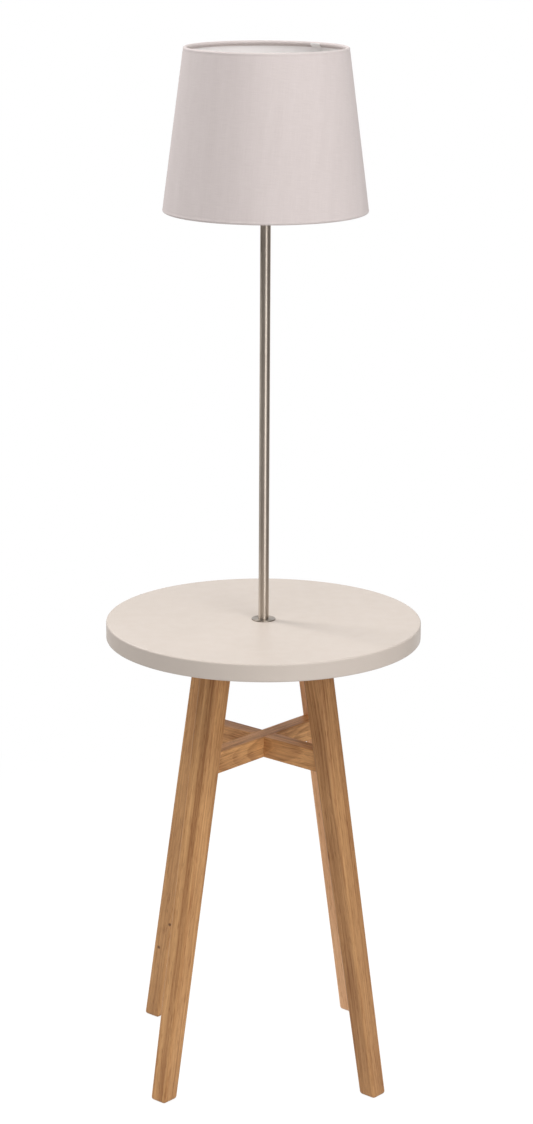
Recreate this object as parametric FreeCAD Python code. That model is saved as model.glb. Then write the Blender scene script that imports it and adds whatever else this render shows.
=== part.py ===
import FreeCAD, Part
import math
import os
from FreeCAD import Vector

# Floor lamp with a round table: oak legs on the diagonals, a lacquered top, a lamp stem through
# its middle and a tapered fabric shade. Millimetres, +Z up, origin on the floor on the stem's axis,
# front towards -Y.

# ---- driving sizes -------------------------------------------------------------------------------

# table top
TOP_DIAMETER = 400.0
TOP_THICKNESS = 22.8
TABLE_HEIGHT = 597.0
TOP_EDGE_EASING = 2.0

# legs: square in plan, tapering to the foot and leaning outwards along the diagonals
LEG_TOP_RADIUS = 85.4
LEG_FOOT_RADIUS = 189.5
LEG_TOP_WIDTH = 31.0
LEG_TOP_DEPTH = 29.0
LEG_FOOT_WIDTH = 24.7
LEG_FOOT_DEPTH = 25.0
LEG_EDGE_RADIUS = 2.0
FOOT_EASING = 1.5

# stretcher between the legs, so far below the table top, and the rails right under the top
STRETCHER_DROP = 129.7
STRETCHER_HEIGHT = 27.5
STRETCHER_WIDTH = 21.8
RAIL_HEIGHT = 30.0
RAIL_WIDTH = 22.0
LAP_CLEARANCE = 0.05
BAR_EDGE_EASING = 0.8

# dowels and screws
DOWEL_DIAMETER = 8.0
DOWEL_IN_LEG = 14.0
DOWEL_IN_BAR = 20.0
DOWEL_SPACING = 13.0
DOWEL_END_ROOM = 1.0
SCREW_DIAMETER = 4.0
SCREW_LENGTH = 40.0
SCREW_POINT_LENGTH = 4.0
SCREW_POINT_RADIUS = 0.3
SCREW_HEAD_DIAMETER = 8.0
SCREW_CIRCLE_RADIUS = 50.0

# stem, its flange and the threaded tubes at its ends
STEM_DIAMETER = 13.2
STEM_BORE = 8.6
STEM_LENGTH = 517.8
STEM_THREAD_DEPTH = 16.0
FLANGE_DIAMETER = 30.6
FLANGE_THICKNESS = 1.2
NIPPLE_DIAMETER = 10.0
NIPPLE_BORE = 8.0
NIPPLE_IN_STEM = 14.0
NIPPLE_BELOW_NUT = 7.0
NIPPLE_IN_CAP = 8.0
WASHER_DIAMETER = 28.0
WASHER_THICKNESS = 2.0
NUT_ACROSS_FLATS = 14.0
NUT_THICKNESS = 4.0
NUT_CHAMFER = 0.6
BUSH_DIAMETER = 14.0
BUSH_LENGTH = 10.0
BUSH_OUTLET = 7.4
BUSH_OUTLET_LENGTH = 5.0
BUSH_EASING = 1.0

# lampholder: its threaded shell takes the bulb's cap, and the rest is built out from the shell
CAP_NOZZLE_DIAMETER = 15.0
CAP_HEIGHT = 30.0
CAP_WALL = 2.0
CAP_SET_BACK = 0.5
CAP_EASING = 1.0
CAP_BEND = 3.0
CAP_LEDGE = 2.0
BASE_HEIGHT = 12.0
BAR_DIAMETER = 6.0
BAR_TRAVEL = 5.0
BAR_SHOWING = 10.0
BAR_END_CHAMFER = 1.2
SKIRT_ROOM = 3.6
SKIRT_WALL = 2.4
SKIRT_EASING = 1.0
LIP_THICKNESS = 2.0
SHOULDER_WIDTH = 4.0
SHOULDER_THICKNESS = 3.0
INSULATOR_HEIGHT = 9.0
INSULATOR_RIM = 1.0
INSULATOR_LEDGE = 1.5
SHELL_WALL = 0.4
SHELL_LENGTH = 25.0
CONTACT_WELL_DEPTH = 3.0
CONTACT_WIDTH = 6.0
CONTACT_LENGTH = 18.0
CONTACT_FLAT = 4.0
CONTACT_THICKNESS = 0.5
CONTACT_RISE = 2.4
COLLAR_WALL = 8.5
COLLAR_HEIGHT = 9.0
COLLAR_EASING = 1.0
COLLAR_GRIPS = 12
COLLAR_GRIP_DEPTH = 1.0
COLLAR_GRIP_WIDTH = 2.4
TERMINAL_DIAMETER = 3.5
TERMINAL_LENGTH = 8.0
TERMINAL_HEAD_DIAMETER = 6.0
TERMINAL_HEAD_HEIGHT = 2.0
TERMINAL_EDGE_ROOM = 1.5

# bulb
BULB_CAP_DIAMETER = 26.4
BULB_CAP_LENGTH = 27.0
BULB_CAP_EASING = 1.0
BULB_TIP_DIAMETER = 9.6
BULB_TIP_HEIGHT = 1.5
BULB_GLASS_HEIGHT = 4.0
BULB_NECK_DIAMETER = 30.0
BULB_NECK_HEIGHT = 6.0
BULB_DIAMETER = 60.0
BULB_LENGTH = 106.0
GLOBE_RIM_DROP = 10.5
GLOBE_WALL = 1.2

# shade, its lower edge about level with the stem's top
SHADE_OVER_STEM = 0.2
SHADE_HEIGHT = 199.2
SHADE_BOTTOM_DIAMETER = 253.0
SHADE_TOP_DIAMETER = 201.8
SHADE_WALL = 0.7
HEM_WIRE_DIAMETER = 2.4
HEM_WIRE_FLATS = 6
HEM_DEPTH = 7.0
HEM_TURN_FLATS = 3
SEAM_WIDTH = 12.6
SEAM_THICKNESS = 0.5
SEAM_END_ROOM = 1.0
SEAM_AZIMUTH = 47.0
SPIDER_HUB_WIDTH = 9.0
SPIDER_HUB_THICKNESS = 1.5
SPIDER_ARM_DIAMETER = 3.2
SPIDER_ARM_COUNT = 3
SPIDER_ARM_BEND = 10.0
SPIDER_ARM_LEVEL = 6.0
SPIDER_ARM_WELD = 1.2

# clearances
GLUE_CLEARANCE = 0.05
THREAD_CLEARANCE = 0.05
RUNNING_CLEARANCE = 0.08
SHADE_PLAY = 0.1
HUB_PLAY = 1.0
BULB_PLAY = 0.4
BORE_CLEARANCE = 0.3
CONTACT_GAP = 0.1
HEM_CLEARANCE = 0.3
MOUTH_GAP = 0.5

# ---- places worked out from them -----------------------------------------------------------------

TOP_UNDERSIDE = TABLE_HEIGHT - TOP_THICKNESS
LEG_AZIMUTHS = {"back_right": 45.0, "back_left": 135.0, "front_left": 225.0, "front_right": 315.0}
RAIL_BOTTOM = TOP_UNDERSIDE - RAIL_HEIGHT
STRETCHER_BOTTOM = TOP_UNDERSIDE - STRETCHER_DROP - STRETCHER_HEIGHT
STEM_FOOT = TABLE_HEIGHT + FLANGE_THICKNESS
STEM_TOP = STEM_FOOT + STEM_LENGTH
WASHER_BOTTOM = RAIL_BOTTOM - WASHER_THICKNESS
NUT_BOTTOM = WASHER_BOTTOM - NUT_THICKNESS
NIPPLE_BOTTOM = NUT_BOTTOM - NIPPLE_BELOW_NUT
THREAD_HOLE_RADIUS = NIPPLE_DIAMETER / 2 + THREAD_CLEARANCE
NIPPLE_HOLE_RADIUS = NIPPLE_DIAMETER / 2 + BORE_CLEARANCE

HOLDER_FOOT = STEM_TOP
SHELL_INNER_RADIUS = BULB_CAP_DIAMETER / 2 + BULB_PLAY
SHELL_OUTER_RADIUS = SHELL_INNER_RADIUS + SHELL_WALL
SKIRT_INNER_RADIUS = SHELL_OUTER_RADIUS + SKIRT_ROOM
SKIRT_RADIUS = SKIRT_INNER_RADIUS + SKIRT_WALL
SHOULDER_RADIUS = SKIRT_RADIUS + SHOULDER_WIDTH
CAP_RADIUS = SKIRT_RADIUS - CAP_SET_BACK
CAP_INNER_RADIUS = CAP_RADIUS - CAP_WALL
SKIRT_FOOT = HOLDER_FOOT + CAP_HEIGHT
SHOULDER_TOP = SKIRT_FOOT + SHOULDER_THICKNESS
BASE_TOP = SKIRT_FOOT
BASE_BOTTOM = BASE_TOP - BASE_HEIGHT
BAR_AXIS_HEIGHT = (BASE_BOTTOM + BASE_TOP) / 2
INSULATOR_TOP = BASE_TOP + INSULATOR_HEIGHT
CONTACT_FLOOR = INSULATOR_TOP - CONTACT_WELL_DEPTH
BULB_FOOT = CONTACT_FLOOR + CONTACT_RISE + CONTACT_GAP
BULB_CAP_TOP = BULB_FOOT + BULB_CAP_LENGTH
SKIRT_TOP = BULB_CAP_TOP - MOUTH_GAP
HUB_BOTTOM = SHOULDER_TOP + SHADE_PLAY
HUB_TOP = HUB_BOTTOM + SPIDER_HUB_THICKNESS
HUB_INNER_RADIUS = SKIRT_RADIUS + HUB_PLAY
HUB_RADIUS = HUB_INNER_RADIUS + SPIDER_HUB_WIDTH
COLLAR_BOTTOM = HUB_TOP + SHADE_PLAY
COLLAR_RADIUS = SKIRT_RADIUS + COLLAR_WALL
SHADE_BOTTOM = STEM_TOP + SHADE_OVER_STEM
SHADE_TOP = SHADE_BOTTOM + SHADE_HEIGHT

# the hem of the shade cover is turned round a wire: distance from the wire's centre to the outside
HEM_INNER_RADIUS = HEM_WIRE_DIAMETER / 2 + HEM_CLEARANCE
HEM_OUTER_RADIUS = HEM_INNER_RADIUS + SHADE_WALL
BOTTOM_WIRE_RADIUS = SHADE_BOTTOM_DIAMETER / 2 - HEM_OUTER_RADIUS
BOTTOM_WIRE_HEIGHT = SHADE_BOTTOM + HEM_OUTER_RADIUS
TOP_WIRE_RADIUS = SHADE_TOP_DIAMETER / 2 - HEM_OUTER_RADIUS
TOP_WIRE_HEIGHT = SHADE_TOP - HEM_OUTER_RADIUS

AXIS = Vector(0, 0, 1)
ORIGIN = Vector(0, 0, 0)

os.makedirs("parts", exist_ok=True)


# ---- helpers -------------------------------------------------------------------------------------

def save(name, shape):
    """Write one sub-part; a compound holds a group of like pieces."""
    if not shape.isValid():
        raise ValueError(name + " is not a valid solid")
    shape.exportStep("parts/" + name + ".step")
    print(f"{name}: {len(shape.Solids)} solid(s), {shape.Volume / 1000:.2f} cm3")


def rod(radius, bottom, top, x=0.0, y=0.0):
    """Upright round bar between two heights."""
    return Part.makeCylinder(radius, top - bottom, Vector(x, y, bottom), AXIS)


def ring(outer_radius, inner_radius, bottom, top):
    """Upright tube or flat ring."""
    return rod(outer_radius, bottom, top).cut(rod(inner_radius, bottom - 1, top + 1))


def turned(outline):
    """Solid of revolution about Z from a closed outline of (radius, height) points."""
    points = [Vector(r, 0, z) for r, z in outline]
    face = Part.Face(Part.makePolygon(points + points[:1]))
    return face.revolve(ORIGIN, AXIS, 360)


def eased_disc(radius, bottom, top, easing, bore_radius=0.0):
    """Round plate whose outer arrises are eased by two small flats each, with a bore if it has one."""
    first, second = easing * 0.3, easing
    return turned([(bore_radius, bottom), (radius - second, bottom), (radius - first, bottom + first),
                   (radius, bottom + second), (radius, top - second), (radius - first, top - first),
                   (radius - second, top), (bore_radius, top)])


def at_azimuth(shape, degrees):
    """The shape, made along +X, turned about the stem's axis."""
    placed = shape.copy()
    placed.rotate(ORIGIN, AXIS, degrees)
    return placed


def rounded_rectangle(centre, depth, width, radius, height):
    """Closed wire in a level plane: depth along X, width along Y, rounded corners."""
    xs, ys = depth / 2 - radius, width / 2 - radius
    edges = []
    for quarter, (cx, cy) in enumerate(((xs, ys), (-xs, ys), (-xs, -ys), (xs, -ys))):
        start = math.radians(90 * quarter)
        arc = [Vector(centre + cx + radius * math.cos(start + step * math.pi / 4),
                      cy + radius * math.sin(start + step * math.pi / 4), height) for step in range(3)]
        if edges:
            edges.append(Part.LineSegment(last, arc[0]).toShape())
        else:
            first = arc[0]
        edges.append(Part.Arc(*arc).toShape())
        last = arc[2]
    edges.append(Part.LineSegment(last, first).toShape())
    return Part.Wire(edges)


def leg_at(height, top_value, foot_value):
    """A leg's size or place at a height, between its values at the foot and under the top."""
    return foot_value + (top_value - foot_value) * height / TOP_UNDERSIDE


def leg_inner_face(height):
    """Distance of the leg's inner face from the stem's axis at a height."""
    centre = leg_at(height, LEG_TOP_RADIUS, LEG_FOOT_RADIUS)
    return centre - leg_at(height, LEG_TOP_DEPTH, LEG_FOOT_DEPTH) / 2


# ---- legs ----------------------------------------------------------------------------------------

def dowel_heights(bar_bottom, bar_height):
    """The two dowels of a joint lie one above the other, about the bar's middle."""
    middle = bar_bottom + bar_height / 2
    return (middle - DOWEL_SPACING / 2, middle + DOWEL_SPACING / 2)


DOWEL_ROWS = {
    "rail": dowel_heights(RAIL_BOTTOM, RAIL_HEIGHT),
    "stretcher": dowel_heights(STRETCHER_BOTTOM, STRETCHER_HEIGHT),
}


def dowel_bores():
    """The bores of one leg's joints, along +X: DOWEL_IN_BAR inwards and DOWEL_IN_LEG outwards."""
    bores = []
    for heights in DOWEL_ROWS.values():
        for height in heights:
            start = leg_inner_face(height) - DOWEL_IN_BAR - DOWEL_END_ROOM
            length = DOWEL_IN_BAR + DOWEL_IN_LEG + 2 * DOWEL_END_ROOM
            radius = DOWEL_DIAMETER / 2 + GLUE_CLEARANCE
            bores.append(Part.makeCylinder(radius, length, Vector(start, 0, height), Vector(1, 0, 0)))
    return bores


def plain_leg():
    """Tapered leg along +X, cut level at the floor and under the top, its arrises eased."""
    sole_radius = leg_at(0, LEG_TOP_RADIUS, LEG_FOOT_RADIUS)
    eased_radius = leg_at(FOOT_EASING, LEG_TOP_RADIUS, LEG_FOOT_RADIUS)
    eased_depth = leg_at(FOOT_EASING, LEG_TOP_DEPTH, LEG_FOOT_DEPTH)
    eased_width = leg_at(FOOT_EASING, LEG_TOP_WIDTH, LEG_FOOT_WIDTH)
    sole = rounded_rectangle(sole_radius, LEG_FOOT_DEPTH - 2 * FOOT_EASING,
                             LEG_FOOT_WIDTH - 2 * FOOT_EASING, LEG_EDGE_RADIUS / 2, 0)
    ankle = rounded_rectangle(eased_radius, eased_depth, eased_width, LEG_EDGE_RADIUS, FOOT_EASING)
    top = rounded_rectangle(LEG_TOP_RADIUS, LEG_TOP_DEPTH, LEG_TOP_WIDTH, LEG_EDGE_RADIUS, TOP_UNDERSIDE)
    return Part.makeLoft([sole, ankle, top], True, True)


BORES = dowel_bores()
BORED_LEG = plain_leg().cut(Part.makeCompound(BORES))
for place, azimuth in LEG_AZIMUTHS.items():
    save("leg_" + place, at_azimuth(BORED_LEG, azimuth))


# ---- cross bars: the stretcher and the rails, each a half-lapped pair ----------------------------

def cross_bar(azimuth, bottom, height, width, keeps_top, easing=0.0):
    """A bar from leg to leg through the axis, notched by half its height for the other bar."""
    middle = bottom + height / 2
    half = leg_inner_face(bottom)
    bar = Part.makeBox(2 * half, width, height, Vector(-half, -width / 2, bottom))
    if easing:
        bar = bar.makeChamfer(easing, [e for e in bar.Edges if e.BoundBox.XLength > half])
    slope = (leg_inner_face(bottom + height) - leg_inner_face(bottom)) / height
    for side in (0, 180):
        reach = half + 1
        corners = [Vector(leg_inner_face(bottom) - slope, -width, bottom - 1),
                   Vector(leg_inner_face(bottom + height) + slope, -width, bottom + height + 1),
                   Vector(reach, -width, bottom + height + 1),
                   Vector(reach, -width, bottom - 1)]
        beyond = Part.Face(Part.makePolygon(corners + corners[:1])).extrude(Vector(0, 2 * width, 0))
        bar = bar.cut(at_azimuth(beyond, side))
    gap = width / 2 + LAP_CLEARANCE
    notch_bottom = bottom - 1 if keeps_top else middle
    notch_top = middle if keeps_top else bottom + height + 1
    notch = Part.makeBox(2 * gap, 2 * width, notch_top - notch_bottom, Vector(-gap, -width, notch_bottom))
    bar = bar.cut(notch)
    for side in (0, 180):
        bar = bar.cut(Part.makeCompound([at_azimuth(bore, side) for bore in BORES]))
    return at_azimuth(bar, azimuth)


def screw_outline(foot, clearance=0.0):
    """Countersunk wood screw, head down, or with a clearance the hole that it needs."""
    head, shank = SCREW_HEAD_DIAMETER / 2 + clearance, SCREW_DIAMETER / 2 + clearance
    tip = foot + SCREW_LENGTH + clearance
    return [(0, foot), (head, foot), (shank, foot + head - shank), (shank, tip - SCREW_POINT_LENGTH),
            (SCREW_POINT_RADIUS, tip), (0, tip)]


SCREW_AZIMUTHS = list(LEG_AZIMUTHS.values())


def at_screws(outline):
    """The outline turned into one solid at each screw's place on the rails."""
    solid = turned(outline)
    solid.translate(Vector(SCREW_CIRCLE_RADIUS, 0, 0))
    return Part.makeCompound([at_azimuth(solid, azimuth) for azimuth in SCREW_AZIMUTHS])


SCREW_HOLES = at_screws(screw_outline(RAIL_BOTTOM, GLUE_CLEARANCE))
NIPPLE_HOLE = rod(NIPPLE_HOLE_RADIUS, RAIL_BOTTOM - 1, TABLE_HEIGHT + 1)

for letter, azimuth, keeps_top in (("a", 45, True), ("b", 135, False)):
    save("stretcher_bar_" + letter,
         cross_bar(azimuth, STRETCHER_BOTTOM, STRETCHER_HEIGHT, STRETCHER_WIDTH, keeps_top,
                   BAR_EDGE_EASING))
    rail = cross_bar(azimuth, RAIL_BOTTOM, RAIL_HEIGHT, RAIL_WIDTH, keeps_top)
    save("upper_rail_" + letter, rail.cut(SCREW_HOLES).cut(NIPPLE_HOLE))


def dowel(height):
    """Beech dowel along +X, part in the bar and part in the leg."""
    start = Vector(leg_inner_face(height) - DOWEL_IN_BAR, 0, height)
    return Part.makeCylinder(DOWEL_DIAMETER / 2, DOWEL_IN_BAR + DOWEL_IN_LEG, start, Vector(1, 0, 0))


for row, heights in DOWEL_ROWS.items():
    pins = [at_azimuth(dowel(height), azimuth) for azimuth in LEG_AZIMUTHS.values() for height in heights]
    save(row + "_dowels", Part.makeCompound(pins))

save("top_screws", at_screws(screw_outline(RAIL_BOTTOM)))


# ---- table top -----------------------------------------------------------------------------------

disc = eased_disc(TOP_DIAMETER / 2, TOP_UNDERSIDE, TABLE_HEIGHT, TOP_EDGE_EASING, NIPPLE_HOLE_RADIUS)
save("table_top", disc.cut(SCREW_HOLES))


# ---- stem and what clamps it to the top ----------------------------------------------------------

stem = ring(STEM_DIAMETER / 2, STEM_BORE / 2, STEM_FOOT, STEM_TOP)
for low in (STEM_FOOT - 1, STEM_TOP - STEM_THREAD_DEPTH):
    stem = stem.cut(rod(THREAD_HOLE_RADIUS, low, low + STEM_THREAD_DEPTH + 1))
save("stem_tube", stem)

flange_radius = FLANGE_DIAMETER / 2
flange_easing = FLANGE_THICKNESS / 2
save("stem_flange", turned([(NIPPLE_HOLE_RADIUS, TABLE_HEIGHT), (flange_radius, TABLE_HEIGHT),
                            (flange_radius, STEM_FOOT - flange_easing),
                            (flange_radius - flange_easing, STEM_FOOT), (NIPPLE_HOLE_RADIUS, STEM_FOOT)]))

save("lower_nipple", ring(NIPPLE_DIAMETER / 2, NIPPLE_BORE / 2, NIPPLE_BOTTOM, STEM_FOOT + NIPPLE_IN_STEM))
save("clamp_washer", ring(WASHER_DIAMETER / 2, NIPPLE_HOLE_RADIUS, WASHER_BOTTOM, RAIL_BOTTOM))

corner_radius = NUT_ACROSS_FLATS / math.sqrt(3)
corners = [Vector(corner_radius * math.cos(math.radians(60 * n)),
                  corner_radius * math.sin(math.radians(60 * n)), NUT_BOTTOM) for n in range(6)]
hexagon = Part.Face(Part.makePolygon(corners + corners[:1])).extrude(Vector(0, 0, NUT_THICKNESS))
nut_round = turned([(0, NUT_BOTTOM), (corner_radius - NUT_CHAMFER, NUT_BOTTOM),
                    (corner_radius, NUT_BOTTOM + NUT_CHAMFER), (corner_radius, WASHER_BOTTOM),
                    (0, WASHER_BOTTOM)])
nut = hexagon.common(nut_round).cut(rod(THREAD_HOLE_RADIUS, NUT_BOTTOM - 1, WASHER_BOTTOM + 1))
save("clamp_nut", nut)

# bush: screwed on the nipple's lower end, with a rounded mouth for the flex
bush_bottom = NIPPLE_BOTTOM - BUSH_OUTLET_LENGTH
bush_radius, outlet_radius = BUSH_DIAMETER / 2, BUSH_OUTLET / 2
save("cord_bush", turned([(outlet_radius + BUSH_EASING, bush_bottom),
                          (bush_radius - BUSH_EASING, bush_bottom), (bush_radius, bush_bottom + BUSH_EASING),
                          (bush_radius, bush_bottom + BUSH_LENGTH),
                          (THREAD_HOLE_RADIUS, bush_bottom + BUSH_LENGTH),
                          (THREAD_HOLE_RADIUS, NIPPLE_BOTTOM), (outlet_radius, NIPPLE_BOTTOM),
                          (outlet_radius, bush_bottom + BUSH_EASING)]))


# ---- lampholder ----------------------------------------------------------------------------------

save("upper_nipple", ring(NIPPLE_DIAMETER / 2, NIPPLE_BORE / 2,
                          STEM_TOP - NIPPLE_IN_STEM, HOLDER_FOOT + NIPPLE_IN_CAP))

# cap: a dome from the threaded nozzle to the holder's width, with a ledge for the base block
nozzle_top = HOLDER_FOOT + NIPPLE_IN_CAP
nozzle_radius = CAP_NOZZLE_DIAMETER / 2
ledge = CAP_INNER_RADIUS - CAP_LEDGE
cap = turned([(THREAD_HOLE_RADIUS, HOLDER_FOOT), (nozzle_radius, HOLDER_FOOT),
              (nozzle_radius, nozzle_top - CAP_EASING), (CAP_RADIUS - CAP_BEND, BASE_BOTTOM - CAP_BEND),
              (CAP_RADIUS, BASE_BOTTOM), (CAP_RADIUS, BASE_TOP), (CAP_INNER_RADIUS, BASE_TOP),
              (CAP_INNER_RADIUS, BASE_BOTTOM), (ledge, BASE_BOTTOM),
              (ledge - CAP_EASING, BASE_BOTTOM - CAP_BEND), (nozzle_radius, nozzle_top + CAP_EASING),
              (THREAD_HOLE_RADIUS, nozzle_top + CAP_EASING)])
bar_hole_radius = BAR_DIAMETER / 2 + BORE_CLEARANCE
bar_start = -CAP_RADIUS - BAR_SHOWING - BAR_TRAVEL
bar_length = 2 * CAP_RADIUS + 2 * BAR_SHOWING + BAR_TRAVEL


def across(radius):
    """Round bar through the whole holder along X, on the switch bar's axis."""
    return Part.makeCylinder(radius, bar_length, Vector(bar_start, 0, BAR_AXIS_HEIGHT), Vector(1, 0, 0))


save("lampholder_cap", cap.cut(across(bar_hole_radius)))

# base block: guides the switch bar and holds the two terminal screws from below
base = rod(CAP_INNER_RADIUS - THREAD_CLEARANCE, BASE_BOTTOM, BASE_TOP)
base = base.cut(across(BAR_DIAMETER / 2 + RUNNING_CLEARANCE))
screw_top = BASE_BOTTOM + TERMINAL_LENGTH
terminal_offset = ledge - TERMINAL_EDGE_ROOM - TERMINAL_HEAD_DIAMETER / 2
terminals, terminal_holes = [], []
for side in (-1, 1):
    y = side * terminal_offset
    head = rod(TERMINAL_HEAD_DIAMETER / 2, BASE_BOTTOM - TERMINAL_HEAD_HEIGHT, BASE_BOTTOM, 0, y)
    shank = rod(TERMINAL_DIAMETER / 2, BASE_BOTTOM, screw_top, 0, y)
    terminals.append(head.fuse(shank))
    terminal_holes.append(rod(TERMINAL_DIAMETER / 2 + THREAD_CLEARANCE, BASE_BOTTOM - 1,
                              screw_top + THREAD_CLEARANCE, 0, y))
save("lampholder_base", base.cut(Part.makeCompound(terminal_holes)))
save("terminal_screws", Part.makeCompound(terminals))

# switch bar: pushed from side to side through the cap, at rest with its left end out
bar = across(BAR_DIAMETER / 2)
save("switch_bar", bar.makeChamfer(BAR_END_CHAMFER, [e for e in bar.Edges if e.BoundBox.XLength < 1e-6]))

# skirt: threaded sleeve on a shoulder, closed in at its mouth round the shell
mouth_radius = SHELL_OUTER_RADIUS + BORE_CLEARANCE
skirt = turned([(SKIRT_INNER_RADIUS, SKIRT_FOOT), (SHOULDER_RADIUS, SKIRT_FOOT),
                (SHOULDER_RADIUS, SHOULDER_TOP), (SKIRT_RADIUS, SHOULDER_TOP),
                (SKIRT_RADIUS, SKIRT_TOP - SKIRT_EASING), (SKIRT_RADIUS - SKIRT_EASING, SKIRT_TOP),
                (mouth_radius, SKIRT_TOP), (mouth_radius, SKIRT_TOP - LIP_THICKNESS),
                (SKIRT_INNER_RADIUS, SKIRT_TOP - LIP_THICKNESS)])
save("lampholder_skirt", skirt)

# insulator: ceramic block on the base, with a rim for the threaded shell and a well for the contact
insulator_radius = SKIRT_INNER_RADIUS - THREAD_CLEARANCE
rim_radius = SHELL_OUTER_RADIUS + INSULATOR_RIM
well_radius = SHELL_INNER_RADIUS - INSULATOR_LEDGE
insulator = turned([(0, BASE_TOP), (insulator_radius, BASE_TOP), (insulator_radius, CONTACT_FLOOR),
                    (rim_radius, CONTACT_FLOOR), (rim_radius, INSULATOR_TOP), (well_radius, INSULATOR_TOP),
                    (well_radius, CONTACT_FLOOR), (0, CONTACT_FLOOR)])
save("lampholder_insulator", insulator)
save("lampholder_shell", ring(SHELL_OUTER_RADIUS, SHELL_INNER_RADIUS, INSULATOR_TOP,
                              INSULATOR_TOP + SHELL_LENGTH))

# centre contact: a brass leaf, flat at its ends and raised in the middle
leaf_end, leaf_crown = CONTACT_LENGTH / 2, CONTACT_FLAT / 2
leaf_foot = leaf_end - CONTACT_FLAT
rise = CONTACT_RISE - CONTACT_THICKNESS
leaf_side = [(-leaf_end, 0), (-leaf_foot, 0), (-leaf_crown, rise), (leaf_crown, rise), (leaf_foot, 0),
             (leaf_end, 0)]
leaf_points = [Vector(x, -CONTACT_WIDTH / 2, CONTACT_FLOOR + z) for x, z in leaf_side]
leaf_points += [p + Vector(0, 0, CONTACT_THICKNESS) for p in reversed(leaf_points)]
leaf = Part.Face(Part.makePolygon(leaf_points + leaf_points[:1])).extrude(Vector(0, CONTACT_WIDTH, 0))
save("centre_contact", leaf)

# threaded ring that clamps the shade's hub on the shoulder
collar = eased_disc(COLLAR_RADIUS, COLLAR_BOTTOM, COLLAR_BOTTOM + COLLAR_HEIGHT, COLLAR_EASING,
                    SKIRT_RADIUS + THREAD_CLEARANCE)
groove = [Vector(COLLAR_RADIUS - COLLAR_GRIP_DEPTH, 0, COLLAR_BOTTOM - 1),
          Vector(COLLAR_RADIUS + 1, COLLAR_GRIP_WIDTH, COLLAR_BOTTOM - 1),
          Vector(COLLAR_RADIUS + 1, -COLLAR_GRIP_WIDTH, COLLAR_BOTTOM - 1)]
groove = Part.Face(Part.makePolygon(groove + groove[:1])).extrude(Vector(0, 0, COLLAR_HEIGHT + 2))
grips = [at_azimuth(groove, 360 / COLLAR_GRIPS * n) for n in range(COLLAR_GRIPS)]
save("shade_ring", collar.cut(Part.makeCompound(grips)))


# ---- bulb ----------------------------------------------------------------------------------------

# cap: a raised contact at its foot, a cone of glass and the threaded sleeve
tip_radius = BULB_TIP_DIAMETER / 2
glass_foot = BULB_FOOT + BULB_TIP_HEIGHT
sleeve_foot = glass_foot + BULB_GLASS_HEIGHT
sleeve_radius = BULB_CAP_DIAMETER / 2
save("bulb_cap", turned([(0, BULB_FOOT), (tip_radius - BULB_CAP_EASING, BULB_FOOT),
                         (tip_radius, BULB_FOOT + BULB_CAP_EASING), (tip_radius, glass_foot),
                         (sleeve_radius - BULB_CAP_EASING, sleeve_foot),
                         (sleeve_radius, sleeve_foot + BULB_CAP_EASING), (sleeve_radius, BULB_CAP_TOP),
                         (0, BULB_CAP_TOP)]))

# housing: the cone between the cap and the globe, which sits in its rim
globe_radius = BULB_DIAMETER / 2
globe_centre = BULB_FOOT + BULB_LENGTH - globe_radius
housing_top = globe_centre - GLOBE_RIM_DROP
housing_rim_radius = math.sqrt(globe_radius ** 2 - GLOBE_RIM_DROP ** 2)
save("bulb_housing", turned([(0, BULB_CAP_TOP), (sleeve_radius + BORE_CLEARANCE, BULB_CAP_TOP),
                             (BULB_NECK_DIAMETER / 2, BULB_CAP_TOP + BULB_NECK_HEIGHT),
                             (housing_rim_radius, housing_top), (0, housing_top)]))
ball = Part.makeSphere(globe_radius, Vector(0, 0, globe_centre))
ball = ball.cut(Part.makeSphere(globe_radius - GLOBE_WALL, Vector(0, 0, globe_centre)))
save("bulb_globe", ball.common(rod(globe_radius + 1, housing_top, globe_centre + globe_radius + 1)))


# ---- shade ---------------------------------------------------------------------------------------

def wire_ring(radius, height, wire_diameter):
    """Ring of steel wire about the stem's axis. It lies buried in a hem, so its section has a few flats."""
    turns = [math.tau / HEM_WIRE_FLATS * n for n in range(HEM_WIRE_FLATS)]
    return turned([(radius + wire_diameter / 2 * math.cos(a), height + wire_diameter / 2 * math.sin(a))
                   for a in turns])


bottom_wire = wire_ring(BOTTOM_WIRE_RADIUS, BOTTOM_WIRE_HEIGHT, HEM_WIRE_DIAMETER)
save("shade_top_wire", wire_ring(TOP_WIRE_RADIUS, TOP_WIRE_HEIGHT, HEM_WIRE_DIAMETER))
save("shade_bottom_wire", bottom_wire)

wall_run = Vector(TOP_WIRE_RADIUS - BOTTOM_WIRE_RADIUS, 0, TOP_WIRE_HEIGHT - BOTTOM_WIRE_HEIGHT)
along = Vector(wall_run).normalize()
outward = Vector(along.z, 0, -along.x)
bottom_centre = Vector(BOTTOM_WIRE_RADIUS, 0, BOTTOM_WIRE_HEIGHT)
top_centre = Vector(TOP_WIRE_RADIUS, 0, TOP_WIRE_HEIGHT)


def spot(centre, out, up):
    """A point of the cover's section, measured across and along its wall from a wire's centre."""
    return centre + outward * out + along * up


def straight(a, b):
    return Part.LineSegment(a, b).toShape()


def turn(centre, radius, up, way):
    """Half a turn of the hem round its wire in a few flats, over the top (up 1) or under the bottom
    (up -1), from the outside in (way 1) or from the inside out (way -1)."""
    points = []
    for step in range(HEM_TURN_FLATS + 1):
        angle = math.pi / HEM_TURN_FLATS * step
        points.append(spot(centre, way * radius * math.cos(angle), up * radius * math.sin(angle)))
    return points


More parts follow.
